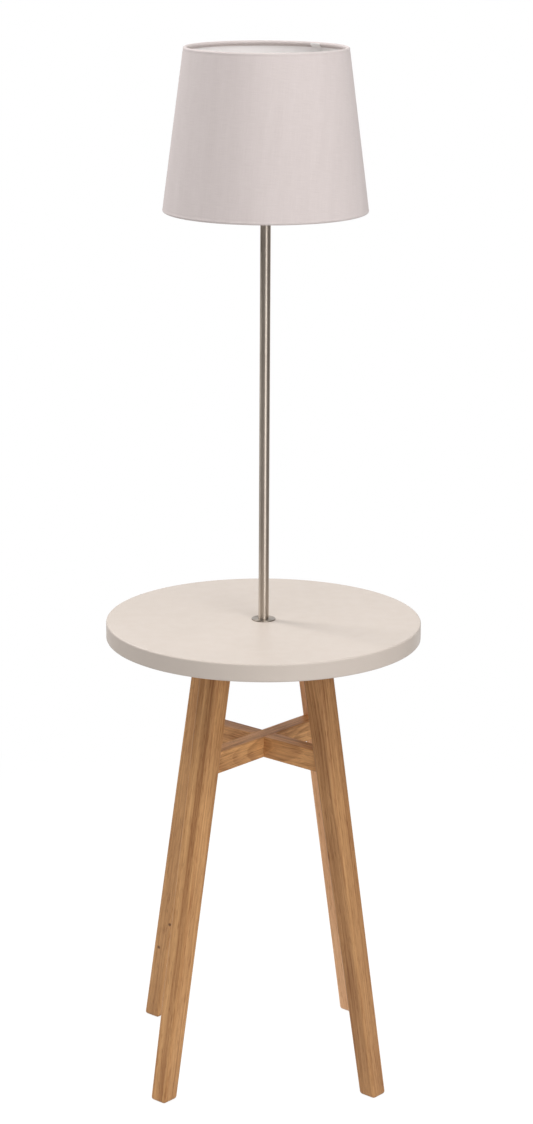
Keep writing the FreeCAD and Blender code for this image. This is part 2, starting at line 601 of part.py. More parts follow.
outer, inner = HEM_OUTER_RADIUS, HEM_INNER_RADIUS
section = turn(top_centre, outer, 1, 1)
section += [spot(top_centre, -outer, -HEM_DEPTH), spot(top_centre, -inner, -HEM_DEPTH)]
section += turn(top_centre, inner, 1, -1)
section += turn(bottom_centre, inner, -1, 1)
section += [spot(bottom_centre, -inner, HEM_DEPTH), spot(bottom_centre, -outer, HEM_DEPTH)]
section += turn(bottom_centre, outer, -1, -1)
cover = turned([(point.x, point.z) for point in section])

# spider: a flat hub with arms of round wire that slope down and are welded to the bottom hem's wire
hub = ring(HUB_RADIUS, HUB_INNER_RADIUS, HUB_BOTTOM, HUB_TOP)
arm_height = (HUB_BOTTOM + HUB_TOP) / 2
arm_radius = SPIDER_ARM_DIAMETER / 2
arm_start = Vector(HUB_RADIUS - SPIDER_ARM_WELD, 0, arm_height)
arm_knee = Vector(HUB_RADIUS + SPIDER_ARM_LEVEL, 0, arm_height)
arm_end = Vector(BOTTOM_WIRE_RADIUS, 0, BOTTOM_WIRE_HEIGHT)
slope_along = (arm_end - arm_knee).normalize()
bend_angle = math.atan2(-slope_along.z, slope_along.x)
tangent = SPIDER_ARM_BEND * math.tan(bend_angle / 2)
bend_start = arm_knee - Vector(tangent, 0, 0)
bend_end = arm_knee + slope_along * tangent
bend_centre = bend_start - Vector(0, 0, SPIDER_ARM_BEND)
bend_middle = bend_centre + Vector(math.sin(bend_angle / 2), 0, math.cos(bend_angle / 2)) * SPIDER_ARM_BEND
path = Part.Wire([straight(arm_start, bend_start), Part.Arc(bend_start, bend_middle, bend_end).toShape(),
                  straight(bend_end, arm_end)])


def arm(radius):
    """One arm along +X, or with a larger radius the slot that it needs in the hem."""
    circle = Part.Wire(Part.makeCircle(radius, arm_start, Vector(1, 0, 0)))
    return path.makePipeShell([circle], True, False)


arm_azimuths = [90 + 360 / SPIDER_ARM_COUNT * n for n in range(SPIDER_ARM_COUNT)]
spider = hub.fuse([at_azimuth(arm(arm_radius), azimuth) for azimuth in arm_azimuths])
hem_bottom, hem_top = SHADE_BOTTOM - 1, BOTTOM_WIRE_HEIGHT + 3 * HEM_DEPTH
beyond_wire = ring(BOTTOM_WIRE_RADIUS + HEM_DEPTH, BOTTOM_WIRE_RADIUS, hem_bottom, hem_top)
save("shade_spider", spider.cut(bottom_wire).cut(beyond_wire).removeSplitter())

# the hem is slit where an arm goes through it to the wire
slots = [at_azimuth(arm(arm_radius + BORE_CLEARANCE), azimuth) for azimuth in arm_azimuths]
inside = rod(BOTTOM_WIRE_RADIUS, hem_bottom, hem_top)
save("shade_cover", cover.cut(Part.makeCompound(slots).common(inside)))

# seam: the strip where the lining's ends overlap, from hem to hem
seam_low, seam_high = HEM_DEPTH + SEAM_END_ROOM, -HEM_DEPTH - SEAM_END_ROOM
seam_out = inner - HEM_CLEARANCE
strip = [spot(bottom_centre, seam_out, seam_low), spot(top_centre, seam_out, seam_high),
         spot(top_centre, seam_out - SEAM_THICKNESS, seam_high),
         spot(bottom_centre, seam_out - SEAM_THICKNESS, seam_low)]
seam_angle = math.degrees(SEAM_WIDTH / BOTTOM_WIRE_RADIUS)
seam = Part.Face(Part.makePolygon(strip + strip[:1])).revolve(ORIGIN, AXIS, seam_angle)
save("shade_seam", at_azimuth(seam, SEAM_AZIMUTH - seam_angle / 2))
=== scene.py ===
import math

import bmesh
import bpy
from mathutils import Euler, Matrix, Vector


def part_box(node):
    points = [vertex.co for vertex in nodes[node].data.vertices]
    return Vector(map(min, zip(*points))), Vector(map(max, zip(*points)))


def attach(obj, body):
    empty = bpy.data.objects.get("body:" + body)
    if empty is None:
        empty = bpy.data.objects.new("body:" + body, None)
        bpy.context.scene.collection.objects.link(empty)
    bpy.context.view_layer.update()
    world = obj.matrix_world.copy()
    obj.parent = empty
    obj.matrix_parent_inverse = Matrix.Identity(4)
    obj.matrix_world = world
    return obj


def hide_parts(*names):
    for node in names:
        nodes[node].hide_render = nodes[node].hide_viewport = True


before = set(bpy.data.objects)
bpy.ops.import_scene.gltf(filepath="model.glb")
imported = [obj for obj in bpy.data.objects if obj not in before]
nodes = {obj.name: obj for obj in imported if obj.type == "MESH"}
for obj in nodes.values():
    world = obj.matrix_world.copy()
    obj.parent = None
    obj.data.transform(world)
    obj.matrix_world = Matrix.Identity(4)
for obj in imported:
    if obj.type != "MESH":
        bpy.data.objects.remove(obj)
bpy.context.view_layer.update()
scene = bpy.context.scene

# ---- camera ---------------------------------------------------------------------------------------
# The photographer's view: a long lens a little above the shade, looking down on the table, from a
# few degrees left of the object's front. The lens and shift are for a frame of 533 by 1124 pixels.

PHOTO_WIDTH, PHOTO_HEIGHT = 533, 1124
FOCAL_PIXELS = 2803.35
CENTRE_PIXEL = 263.84            # the column that the lens looks along
SENSOR = 36.0
CAMERA_DISTANCE = 3.4296         # level, from the stem's axis
CAMERA_HEIGHT = 1.5763
CAMERA_PITCH = 0.2578            # downwards
CAMERA_SIDE = 0.0698             # round the stem, to the left of the front
CAMERA_ROLL = 0.0051

lens = bpy.data.cameras.new("camera")
lens.sensor_width = SENSOR
lens.lens = FOCAL_PIXELS * SENSOR / PHOTO_HEIGHT
lens.shift_x = (PHOTO_WIDTH / 2 - CENTRE_PIXEL) / PHOTO_HEIGHT
lens.clip_end = 100.0
camera = bpy.data.objects.new("camera", lens)
camera.matrix_world = (
    Matrix.Translation((-CAMERA_DISTANCE * math.sin(CAMERA_SIDE),
                        -CAMERA_DISTANCE * math.cos(CAMERA_SIDE), CAMERA_HEIGHT))
    @ Matrix.Rotation(-CAMERA_SIDE, 4, "Z")
    @ Matrix.Rotation(math.pi / 2 - CAMERA_PITCH, 4, "X")
    @ Matrix.Rotation(CAMERA_ROLL, 4, "Z"))
scene.collection.objects.link(camera)
scene.camera = camera


# ---- legs -----------------------------------------------------------------------------------------
# Four legs of solid oak, oiled, square in plan, tapering towards the foot and leaning outwards along
# the diagonals. Each is sawn from its own board, so its grain runs along it and differs from the rest.

def add(tree, kind, feeds=None, **settings):
    """A shader node with its settings. Of its inputs, by name or number, sockets are linked and
    values are set."""
    made = tree.nodes.new("ShaderNode" + kind)
    for name, value in settings.items():
        setattr(made, name, value)
    for name, value in (feeds or {}).items():
        if isinstance(value, bpy.types.NodeSocket):
            tree.links.new(value, made.inputs[name])
        else:
            made.inputs[name].default_value = value
    return made


def maths(tree, operation, *values, clamp=False):
    """The result of one operation on numbers or sockets."""
    return add(tree, "Math", dict(enumerate(values)), operation=operation, use_clamp=clamp).outputs[0]


def scaled(tree, place, x, y, z):
    """A place stretched along each axis."""
    return add(tree, "VectorMath", {0: place, 1: (x, y, z)}, operation="MULTIPLY").outputs[0]


def noise(tree, place, scale=1.0, detail=2.0, roughness=0.5):
    """Noise from 0 to 1 about a middle of a half."""
    feeds = {"Vector": place, "Scale": scale, "Detail": detail, "Roughness": roughness}
    return add(tree, "TexNoise", feeds).outputs["Fac"]


def drawn_out(tree, place, across, along, detail=2.0):
    """Noise drawn out along Z, from its scales across and along."""
    return noise(tree, scaled(tree, place, across, across, along), detail=detail)


def ramped(tree, value, low, high, to_low=0.0, to_high=1.0):
    """A value brought smoothly from one range to another, with its ends held."""
    feeds = {"Value": value, "From Min": low, "From Max": high, "To Min": to_low, "To Max": to_high}
    return add(tree, "MapRange", feeds, interpolation_type="SMOOTHSTEP").outputs["Result"]


def shifted(tree, tone, noises, strength):
    """A tone moved up and down by noise about its middle."""
    return maths(tree, "MULTIPLY_ADD", maths(tree, "SUBTRACT", noises, 0.5), strength, tone)


def mixed(tree, factor, first, second):
    """Two colours mixed."""
    return add(tree, "Mix", {0: factor, 6: first, 7: second}, data_type="RGBA").outputs[2]


def away_across(tree, place, centre):
    """How far a place is from a centre, measured across Z."""
    offset = add(tree, "VectorMath", {0: place, 1: centre}, operation="SUBTRACT").outputs[0]
    flat = scaled(tree, offset, 1, 1, 0)
    return add(tree, "VectorMath", {0: flat}, operation="LENGTH").outputs["Value"]


def new_group(name, inputs, outputs):
    """A shader node group with named sockets: its tree, its input sockets and its output sockets."""
    tree = bpy.data.node_groups.new(name, "ShaderNodeTree")
    for label, kind in inputs.items():
        tree.interface.new_socket(label, in_out="INPUT", socket_type="NodeSocket" + kind)
    for label, kind in outputs.items():
        tree.interface.new_socket(label, in_out="OUTPUT", socket_type="NodeSocket" + kind)
    return tree, tree.nodes.new("NodeGroupInput").outputs, tree.nodes.new("NodeGroupOutput").inputs


def new_material(name, roughness=0.5, metallic=0.0, **constants):
    """A material with a Principled BSDF; constants are named with underscores for spaces."""
    material = bpy.data.materials.new(name)
    material.use_nodes = True
    tree = material.node_tree
    shader = tree.nodes["Principled BSDF"]
    shader.inputs["Roughness"].default_value = roughness
    shader.inputs["Metallic"].default_value = metallic
    for label, value in constants.items():
        shader.inputs[label.replace("_", " ")].default_value = value
    return material, tree, shader


def link_surface(tree, shader, colour, height, strength, depth, roughness=None):
    """Gives a shader its colour, a bump whose depth is in metres, and perhaps a roughness that varies."""
    bump = add(tree, "Bump", {"Strength": strength, "Distance": depth, "Height": height})
    tree.links.new(colour, shader.inputs["Base Color"])
    tree.links.new(bump.outputs["Normal"], shader.inputs["Normal"])
    if roughness is not None:
        tree.links.new(roughness, shader.inputs["Roughness"])


def oak_grain():
    """Oak as a solid: growth rings about a pith that may lean, fibres and pores along local Z, slow
    changes of tone, and one broad darker streak at a place across the piece. Lengths are in metres."""
    tree, given, result = new_group(
        "oak_grain",
        {"Place": "Vector", "Pith": "Vector", "Lean": "Vector", "Ring Width": "Float", "Figure": "Float",
         "Streak Place": "Vector", "Streak Width": "Float", "Streak Depth": "Float",
         "Light": "Color", "Dark": "Color", "Pore": "Color"},
        {"Color": "Color", "Roughness": "Float", "Height": "Float"})
    place = given["Place"]
    grown = place
    for stretch, reach in (((14, 14, 3.0), 0.016), ((70, 70, 11.0), 0.0022)):
        wander = add(tree, "TexNoise", {"Vector": scaled(tree, place, *stretch), "Scale": 1.0, "Detail": 2.0})
        sway = add(tree, "VectorMath", {0: wander.outputs["Color"], 1: (0.5,) * 3}, operation="SUBTRACT")
        sway = scaled(tree, sway.outputs[0], reach, reach, 0)
        grown = add(tree, "VectorMath", {0: grown, 1: sway}, operation="ADD").outputs[0]
    height = add(tree, "SeparateXYZ", {0: place}).outputs["Z"]
    leaning = add(tree, "VectorMath", {0: given["Lean"], "Scale": height}, operation="SCALE").outputs[0]
    centre = add(tree, "VectorMath", {0: given["Pith"], 1: leaning}, operation="ADD").outputs[0]
    ring = maths(tree, "DIVIDE", away_across(tree, grown, centre), given["Ring Width"])
    phase = maths(tree, "FRACT", ring)
    year = add(tree, "TexWhiteNoise", {"W": maths(tree, "FLOOR", ring)}, noise_dimensions="1D")
    early = ramped(tree, phase, 0.0, 0.45, 1.0, 0.0)
    late = maths(tree, "MULTIPLY", ramped(tree, phase, 0.25, 0.85), ramped(tree, phase, 0.88, 1.0, 1.0, 0.0))

    fibre = drawn_out(tree, grown, 1100, 16, detail=3.0)
    thread = drawn_out(tree, grown, 330, 6.0)
    broad = drawn_out(tree, grown, 75, 2.2, detail=1.0)
    cloud = drawn_out(tree, place, 26, 9.0, detail=3.0)
    pores = ramped(tree, drawn_out(tree, grown, 1500, 70, detail=1.0), 0.58, 0.68)
    pores = maths(tree, "MULTIPLY", pores, maths(tree, "MULTIPLY_ADD", early, 0.7, 0.3))
    flecks = ramped(tree, drawn_out(tree, grown, 560, 55), 0.55, 0.70)

    tone = 0.58
    for grain, strength in ((fibre, 0.85), (thread, 0.95), (broad, 0.75), (cloud, 0.75)):
        tone = shifted(tree, tone, grain, strength)
    tone = maths(tree, "MULTIPLY_ADD", flecks, -0.30, tone)
    years = maths(tree, "MULTIPLY", maths(tree, "SUBTRACT", year.outputs["Value"], 0.5), 0.30)
    rings = maths(tree, "SUBTRACT", years, maths(tree, "MULTIPLY", late, 0.34))
    tone = maths(tree, "MULTIPLY_ADD", rings, given["Figure"], tone)

    share = maths(tree, "DIVIDE", away_across(tree, grown, given["Streak Place"]), given["Streak Width"])
    streak = maths(tree, "MULTIPLY", ramped(tree, share, 0.35, 1.0, 1.0, 0.0), given["Streak Depth"])
    tone = maths(tree, "SUBTRACT", tone, streak, clamp=True)

    wood = mixed(tree, tone, given["Dark"], given["Light"])
    wood = mixed(tree, maths(tree, "MULTIPLY", pores, 0.5), wood, given["Pore"])
    tree.links.new(wood, result["Color"])
    rough = maths(tree, "MULTIPLY_ADD", pores, 0.22, maths(tree, "MULTIPLY_ADD", fibre, -0.25, 0.62))
    tree.links.new(rough, result["Roughness"])
    tree.links.new(maths(tree, "SUBTRACT", maths(tree, "MULTIPLY", fibre, 0.5), pores), result["Height"])
    return tree


OAK_GRAIN = oak_grain()
OAK_LIGHT = (0.740, 0.412, 0.174, 1.0)
OAK_DARK = (0.335, 0.144, 0.048, 1.0)
OAK_PORE = (0.140, 0.058, 0.020, 1.0)
OAK_KNOT = (0.130, 0.050, 0.020, 1.0)
KNOT_CORE, KNOT_REACH = 0.0010, 0.0034      # radii where a knot is darkest, and where it ends


def oak(name, start, turn, pith, lean=(0.0, 0.0), ring_width=0.0038, figure=0.4, streak=(0.0, 0.0),
        streak_width=0.010, streak_depth=0.0, light=OAK_LIGHT, dark=OAK_DARK, knots=()):
    """Oiled oak whose grain runs along local Z of a frame at start, turned by an Euler rotation.
    knots lists places on the surface."""
    material, tree, shader = new_material(name, Specular_IOR_Level=0.35)
    place = add(tree, "TexCoord").outputs["Object"]
    along = add(tree, "Mapping", {"Vector": place, "Location": start, "Rotation": turn},
                vector_type="TEXTURE")
    grain = add(tree, "Group", {
        "Place": along.outputs[0], "Pith": (*pith, 0.0), "Lean": (*lean, 0.0),
        "Ring Width": ring_width, "Figure": figure,
        "Streak Place": (*streak, 0.0), "Streak Width": streak_width, "Streak Depth": streak_depth,
        "Light": light, "Dark": dark, "Pore": OAK_PORE}, node_tree=OAK_GRAIN)
    colour = grain.outputs["Color"]
    for knot in knots:
        away = add(tree, "VectorMath", {0: place, 1: knot}, operation="DISTANCE").outputs["Value"]
        colour = mixed(tree, ramped(tree, away, KNOT_CORE, KNOT_REACH, 0.9, 0.0), colour, OAK_KNOT)
    link_surface(tree, shader, colour, grain.outputs["Height"], strength=0.35, depth=0.00012,
                 roughness=grain.outputs["Roughness"])
    return material


CREASE = math.radians(35)                # edges that turn more than this stay sharp


def new_object(bm, name, material):
    """An object of one material from a bmesh."""
    mesh = bpy.data.meshes.new(name)
    bm.to_mesh(mesh)
    bm.free()
    mesh.materials.append(material)
    obj = bpy.data.objects.new(name, mesh)
    scene.collection.objects.link(obj)
    return obj


def piece(bm, name, body, replaced, material):
    """An object from a bmesh: smooth but for its creases and with its flats kept flat, riding on a
    body and standing for CAD nodes."""
    for face in bm.faces:
        face.smooth = True
    for edge in bm.edges:
        edge.smooth = edge.calc_face_angle(0) < CREASE
    obj = new_object(bm, name, material)
    obj.modifiers.new("flats", "WEIGHTED_NORMAL").keep_sharp = True
    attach(obj, body)
    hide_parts(*replaced)
    return obj


# A leg's own frame: Z along its leaning middle line, X outwards and Y across.
LEG_AZIMUTHS = {"back_right": 45, "back_left": 135, "front_left": 225, "front_right": 315}
TOP_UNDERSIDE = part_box("table_top")[0].z
LEG_FOOT_RADIUS, LEG_TOP_RADIUS = 0.1895, 0.0854
LEG_FOOT_SIZE = (0.0250, 0.0247)         # outwards and across
LEG_TOP_SIZE = (0.0290, 0.0310)
LEG_ROUNDING = 0.0042
LEG_LEAN = math.atan2(LEG_FOOT_RADIUS - LEG_TOP_RADIUS, TOP_UNDERSIDE)
# each leg's grain differs; two legs also get their own oak tones as painted light and shade
LEG_GRAIN_AND_PAINTED_LIGHT = {
    "front_left": dict(pith=(0.060, -0.020), streak=(0.012, 0.009), streak_width=0.012, streak_depth=0.22),
    # front right: a darker oak, painted shade
    "front_right": dict(pith=(0.030, -0.060), lean=(0.004, 0.012), figure=0.5,
                        streak=(-0.006, -0.014), streak_width=0.016, streak_depth=0.10,
                        light=(0.620, 0.336, 0.142, 1.0), dark=(0.275, 0.115, 0.038, 1.0)),
    "back_left": dict(pith=(-0.070, 0.030), figure=0.3, light=(0.690, 0.380, 0.160, 1.0)),
    # back right: a much lighter oak, painted light
    "back_right": dict(pith=(0.070, 0.045), figure=0.25, light=(0.960, 0.570, 0.315, 1.0),
                       dark=(0.610, 0.310, 0.140, 1.0)),
}
# knots on a leg's face towards the front: (height, share of the half depth outwards)
LEG_KNOTS = {"back_left": ((0.143, -0.80), (0.105, 0.24))}


def leg_section(height):
    """How far a leg's middle line is from the stem at a height, and the half depth and width there."""
    share = height / TOP_UNDERSIDE
    centre = LEG_FOOT_RADIUS + (LEG_TOP_RADIUS - LEG_FOOT_RADIUS) * share
    return centre, *((foot + (top - foot) * share) / 2 for foot, top in zip(LEG_FOOT_SIZE, LEG_TOP_SIZE))


def about_stem(azimuth):
    """The turn about the stem's axis by an angle in degrees."""
    return Matrix.Rotation(math.radians(azimuth), 3, "Z")


def ease(bm, edges, size, segments):
    """Rounds edges off."""
    bmesh.ops.bevel(bm, geom=edges, offset=size, segments=segments, profile=0.5, affect="EDGES",
                    material=-1)


def tapered_leg(azimuth):
    """A cube drawn out to the leg's corners at the floor and under the top, with rounded arrises."""
    bm = bmesh.new()
    bmesh.ops.create_cube(bm, size=1.0)
    for vert in bm.verts:
        height = TOP_UNDERSIDE if vert.co.z > 0 else 0.0
        centre, half_depth, half_width = leg_section(height)
        vert.co = (centre + vert.co.x * 2 * half_depth, vert.co.y * 2 * half_width, height)
    arrises = [edge for edge in bm.edges if min(vert.co.z for vert in edge.verts) == 0.0]
    ease(bm, arrises, LEG_ROUNDING, segments=5)
    bmesh.ops.rotate(bm, verts=bm.verts, cent=(0, 0, 0), matrix=about_stem(azimuth))
    return bm


for corner, azimuth in LEG_AZIMUTHS.items():
    turn = Euler((0, -LEG_LEAN, math.radians(azimuth)))
    foot = about_stem(azimuth) @ Vector((LEG_FOOT_RADIUS, 0, 0))
    knots = []
    for height, share in LEG_KNOTS.get(corner, ()):
        centre, half_depth, half_width = leg_section(height)
        knots.append(about_stem(azimuth) @ Vector((centre + share * half_depth, half_width, height)))
    piece(tapered_leg(azimuth), f"oak_leg_{corner}", "stand", [f"leg_{corner}"],
          oak(f"oak_leg_{corner}", foot, turn, knots=knots, **LEG_GRAIN_AND_PAINTED_LIGHT[corner]))


# ---- stretcher and rails --------------------------------------------------------------------------
# Two pairs of oak bars, each half-lapped where they cross: the stretcher holds the legs apart below,
# and the rails carry the top. Both run from leg to leg along the diagonals.

def finish_node(node, material):
    """A CAD piece keeps its mesh and gets its own material."""
    slots = nodes[node].data.materials
    slots.clear()
    slots.append(material)


# the stretcher bars get a brighter oak than the rails and legs: painted light where the top shades them
BAR_GRAIN_AND_PAINTED_LIGHT = {
    "stretcher_bar_a": (45, dict(pith=(0.004, 0.026), lean=(0.0, -0.10), ring_width=0.0032, figure=0.7,
                                 light=(0.840, 0.460, 0.190, 1.0))),
    "stretcher_bar_b": (135, dict(pith=(-0.006, -0.040), lean=(0.05, 0.07), ring_width=0.0034, figure=0.7,
                                  light=(0.820, 0.440, 0.180, 1.0))),
    "upper_rail_a": (45, dict(pith=(0.05, 0.08))),
    "upper_rail_b": (135, dict(pith=(-0.03, 0.09))),
}
for node, (azimuth, board) in BAR_GRAIN_AND_PAINTED_LIGHT.items():
    low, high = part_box(node)
    middle = Vector((0, 0, (low.z + high.z) / 2))
    turn = Euler((0, math.pi / 2, math.radians(azimuth)))
    finish_node(node, oak("oak_" + node, middle, turn, **board))


# ---- dowels and screws ----------------------------------------------------------------------------
# Beech dowels glued into the bars and legs, two to a joint, and four countersunk screws with a cross
# recess, driven up through the rails into the top.

def beech():
    """Pale plain wood with short dark flecks."""
    material, tree, shader = new_material("beech", roughness=0.6, Specular_IOR_Level=0.35)
    place = add(tree, "TexCoord").outputs["Object"]
    flecks = ramped(tree, noise(tree, place, scale=900.0, detail=1.0), 0.62, 0.70)
    clouds = ramped(tree, noise(tree, place, scale=60.0, detail=3.0), 0.3, 0.7)
    plain = mixed(tree, clouds, (0.56, 0.38, 0.22, 1), (0.66, 0.47, 0.29, 1))
    tree.links.new(mixed(tree, flecks, plain, (0.36, 0.21, 0.11, 1)), shader.inputs["Base Color"])
    return material


def wear_marks():
    """Fine scuffs and slow clouds in three directions, for plated and moulded pieces."""
    tree, given, result = new_group("wear_marks", {"Place": "Vector", "Scale": "Float"},
                                    {"Clouds": "Float", "Scuffs": "Float"})
    clouds = noise(tree, given["Place"], scale=given["Scale"], detail=4.0, roughness=0.6)
    finer = maths(tree, "MULTIPLY", given["Scale"], 14.0)
    scuffs = noise(tree, given["Place"], scale=finer, detail=3.0, roughness=0.7)
    tree.links.new(ramped(tree, clouds, 0.3, 0.7), result["Clouds"])
    tree.links.new(scuffs, result["Scuffs"])
    return tree


WEAR_MARKS = wear_marks()


def surfaced(name, low_colour, high_colour, low_roughness, high_roughness, marks=40.0, depth=0.00003,
             metallic=0.0, **constants):
    """A plated, moulded or painted surface whose colour and gloss drift a little, with fine scuffs."""
    material, tree, shader = new_material(name, metallic=metallic, **constants)
    place = add(tree, "TexCoord").outputs["Object"]
    wear = add(tree, "Group", {"Place": place, "Scale": marks}, node_tree=WEAR_MARKS)
    clouds, scuffs = wear.outputs["Clouds"], wear.outputs["Scuffs"]
    colour = mixed(tree, clouds, (*low_colour, 1), (*high_colour, 1))
    rough = ramped(tree, shifted(tree, clouds, scuffs, 1.0), 0.0, 1.0, low_roughness, high_roughness)
    link_surface(tree, shader, colour, scuffs, strength=0.2, depth=depth, roughness=rough)
    return material


BEECH = beech()
ZINC = surfaced("bright_zinc", (0.52, 0.53, 0.54), (0.62, 0.62, 0.61), 0.22, 0.36, metallic=1.0)
for node in ("rail_dowels", "stretcher_dowels"):
    finish_node(node, BEECH)


WELD, CUT_SLACK = 1e-6, 1e-7         # points closer than this are one; how loosely a cut finds points


def turn_wall(bm, outline, steps, closed=False):
    """Adds the wall that an outline of (radius, height) corners makes round the stem's axis."""
    corners = [bm.verts.new((radius, 0, height)) for radius, height in outline]
    pairs = list(zip(corners, corners[1:]))
    if closed:
        pairs.append((corners[-1], corners[0]))
    edges = [bm.edges.new(pair) for pair in pairs]
    bmesh.ops.spin(bm, geom=corners + edges, cent=(0, 0, 0), axis=(0, 0, 1), angle=math.tau, steps=steps,
                   use_merge=True)
    bmesh.ops.remove_doubles(bm, verts=bm.verts, dist=WELD)


def bridge_rims(bm, *levels):
    """Joins the two open rims that lie at each height, and turns all faces outwards."""
    for level in levels:
        rims = [edge for edge in bm.edges if len(edge.link_faces) < 2
                and all(abs(vert.co.z - level) < WELD for vert in edge.verts)]
        bmesh.ops.bridge_loops(bm, edges=rims)
    bmesh.ops.recalc_face_normals(bm, faces=bm.faces)


SCREW_HEAD_RADIUS, SCREW_SHANK_RADIUS, SCREW_LENGTH, SCREW_POINT_LENGTH = 0.0040, 0.0020, 0.040, 0.004
SCREW_CIRCLE_RADIUS = 0.050
RECESS_REACH, RECESS_HALF_WIDTH, RECESS_DEPTH, RECESS_TAPER = 0.0023, 0.0005, 0.0018, 0.45

screw_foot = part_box("top_screws")[0].z
bm = bmesh.new()
turn_wall(bm, [(SCREW_HEAD_RADIUS, screw_foot), (SCREW_SHANK_RADIUS, screw_foot + SCREW_HEAD_RADIUS / 2),
               (SCREW_SHANK_RADIUS, screw_foot + SCREW_LENGTH - SCREW_POINT_LENGTH),
               (0, screw_foot + SCREW_LENGTH)], steps=24)
cross = []
for quarter in range(4):
    quarter_turn = about_stem(90 * quarter)
    for x, y in ((RECESS_REACH, -RECESS_HALF_WIDTH), (RECESS_REACH, RECESS_HALF_WIDTH),
                 (RECESS_HALF_WIDTH, RECESS_HALF_WIDTH)):
        cross.append(bm.verts.new(quarter_turn @ Vector((x, y, screw_foot))))
cross_edges = [bm.edges.new(pair) for pair in zip(cross, cross[1:] + cross[:1])]
sunk = bmesh.ops.extrude_edge_only(bm, edges=cross_edges)["geom"]
sunk_verts = [item for item in sunk if isinstance(item, bmesh.types.BMVert)]
bmesh.ops.scale(bm, vec=(RECESS_TAPER, RECESS_TAPER, 1), verts=sunk_verts)
bmesh.ops.translate(bm, vec=(0, 0, RECESS_DEPTH), verts=sunk_verts)
bmesh.ops.edgeloop_fill(bm, edges=[item for item in sunk if isinstance(item, bmesh.types.BMEdge)
                                   and all(vert in sunk_verts for vert in item.verts)])
bridge_rims(bm, screw_foot)
bmesh.ops.translate(bm, verts=bm.verts, vec=(SCREW_CIRCLE_RADIUS, 0, 0))
bmesh.ops.rotate(bm, verts=bm.verts, cent=(0, 0, 0), matrix=about_stem(45))
bmesh.ops.spin(bm, geom=bm.verts[:] + bm.edges[:] + bm.faces[:], cent=(0, 0, 0), axis=(0, 0, 1),
               angle=math.radians(270), steps=3, use_duplicate=True)
piece(bm, "rail_screws", "stand", ["top_screws"], ZINC)


# ---- table top ------------------------------------------------------------------------------------
# A round board lacquered all over in a warm off-white, satin, with a crisp but not sharp edge and a
# hole in its middle for the threaded tube.

def lacquered():
    """Sprayed satin lacquer: one colour with the faintest clouds, and a fine orange peel."""
    material, tree, shader = new_material("off_white_lacquer", Specular_IOR_Level=0.45, Coat_Weight=0.04,
                                          Coat_Roughness=0.25)
    place = add(tree, "TexCoord").outputs["Object"]
    clouds = noise(tree, place, scale=9.0, detail=3.0)
    colour = mixed(tree, ramped(tree, clouds, 0.3, 0.7), (0.584, 0.510, 0.448, 1), (0.605, 0.529, 0.467, 1))
    peel = noise(tree, place, scale=420.0)
    rough = ramped(tree, noise(tree, place, scale=60.0, detail=4.0), 0.3, 0.7, 0.42, 0.52)
    link_surface(tree, shader, colour, peel, strength=0.25, depth=0.00006, roughness=rough)
    return material


def lathe(outline, steps, rounds=()):
    """A bmesh turned about the stem's axis from (radius, height) corners. rounds lists (corner, size,
    segments) for each corner that is eased."""
    bm = bmesh.new()
    turn_wall(bm, outline, steps, closed=True)
    for corner, size, segments in rounds:
        radius, height = outline[corner]
        rim = [edge for edge in bm.edges
               if all(abs(vert.co.xy.length - radius) < WELD and abs(vert.co.z - height) < WELD
                      for vert in edge.verts)]
        ease(bm, rim, size, segments)
    bmesh.ops.recalc_face_normals(bm, faces=bm.faces)
    return bm


def turned_ring(node, bore, steps, rounds):
    """A plain ring as wide and as high as a node's box, about a hole of a radius. Its corners run from
    the hole's foot outwards, up and back in."""
    low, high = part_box(node)
    return lathe([(bore, low.z), (high.x, low.z), (high.x, high.z), (bore, high.z)], steps, rounds)


NIPPLE_HOLE_RADIUS = 0.0053
TOP_EDGE_EASING = 0.0022
bm = turned_ring("table_top", NIPPLE_HOLE_RADIUS, steps=256,
                 rounds=[(corner, TOP_EDGE_EASING, 5) for corner in (1, 2)])
piece(bm, "round_table_top", "stand", ["table_top"], lacquered())


# ---- stem and flange ------------------------------------------------------------------------------
# A steel tube plated with nickel and brushed along its length, standing on a thin round flange that
# covers the hole in the table. Both are clamped to the top from below.

def brush_lines():
    """Fine scratches along local Z: a tone for colour and roughness, and a height."""
    tree, given, result = new_group("brush_lines",
                                    {"Place": "Vector", "Fineness": "Float", "Length": "Float"},
                                    {"Tone": "Float", "Height": "Float"})
    fineness = given["Fineness"]
    stretch = add(tree, "CombineXYZ", {"X": fineness, "Y": fineness, "Z": given["Length"]}).outputs[0]
    fine = add(tree, "VectorMath", {0: given["Place"], 1: stretch}, operation="MULTIPLY").outputs[0]
    lines = noise(tree, fine, detail=4.0, roughness=0.7)
    clouds = drawn_out(tree, given["Place"], 60, 12, detail=3.0)
    tone = maths(tree, "ADD", maths(tree, "MULTIPLY", lines, 0.6), maths(tree, "MULTIPLY", clouds, 0.4))
    tree.links.new(ramped(tree, tone, 0.35, 0.65), result["Tone"])
    tree.links.new(lines, result["Height"])
    return tree


BRUSH_LINES = brush_lines()


def brushed_nickel(name, fineness, length, low_colour, high_colour):
    """Nickel plate over fine brush lines, with its gloss drawn out along the piece."""
    material, tree, shader = new_material(name, metallic=1.0, Anisotropic=0.9, Anisotropic_Rotation=0.25)
    place = add(tree, "TexCoord").outputs["Object"]
    lines = add(tree, "Group", {"Place": place, "Fineness": fineness, "Length": length},
                node_tree=BRUSH_LINES)
    tone = lines.outputs["Tone"]
    colour = mixed(tree, tone, low_colour, high_colour)
    rough = ramped(tree, tone, 0.0, 1.0, 0.34, 0.42)
    link_surface(tree, shader, colour, lines.outputs["Height"], strength=0.12, depth=0.00003,
                 roughness=rough)
    return material


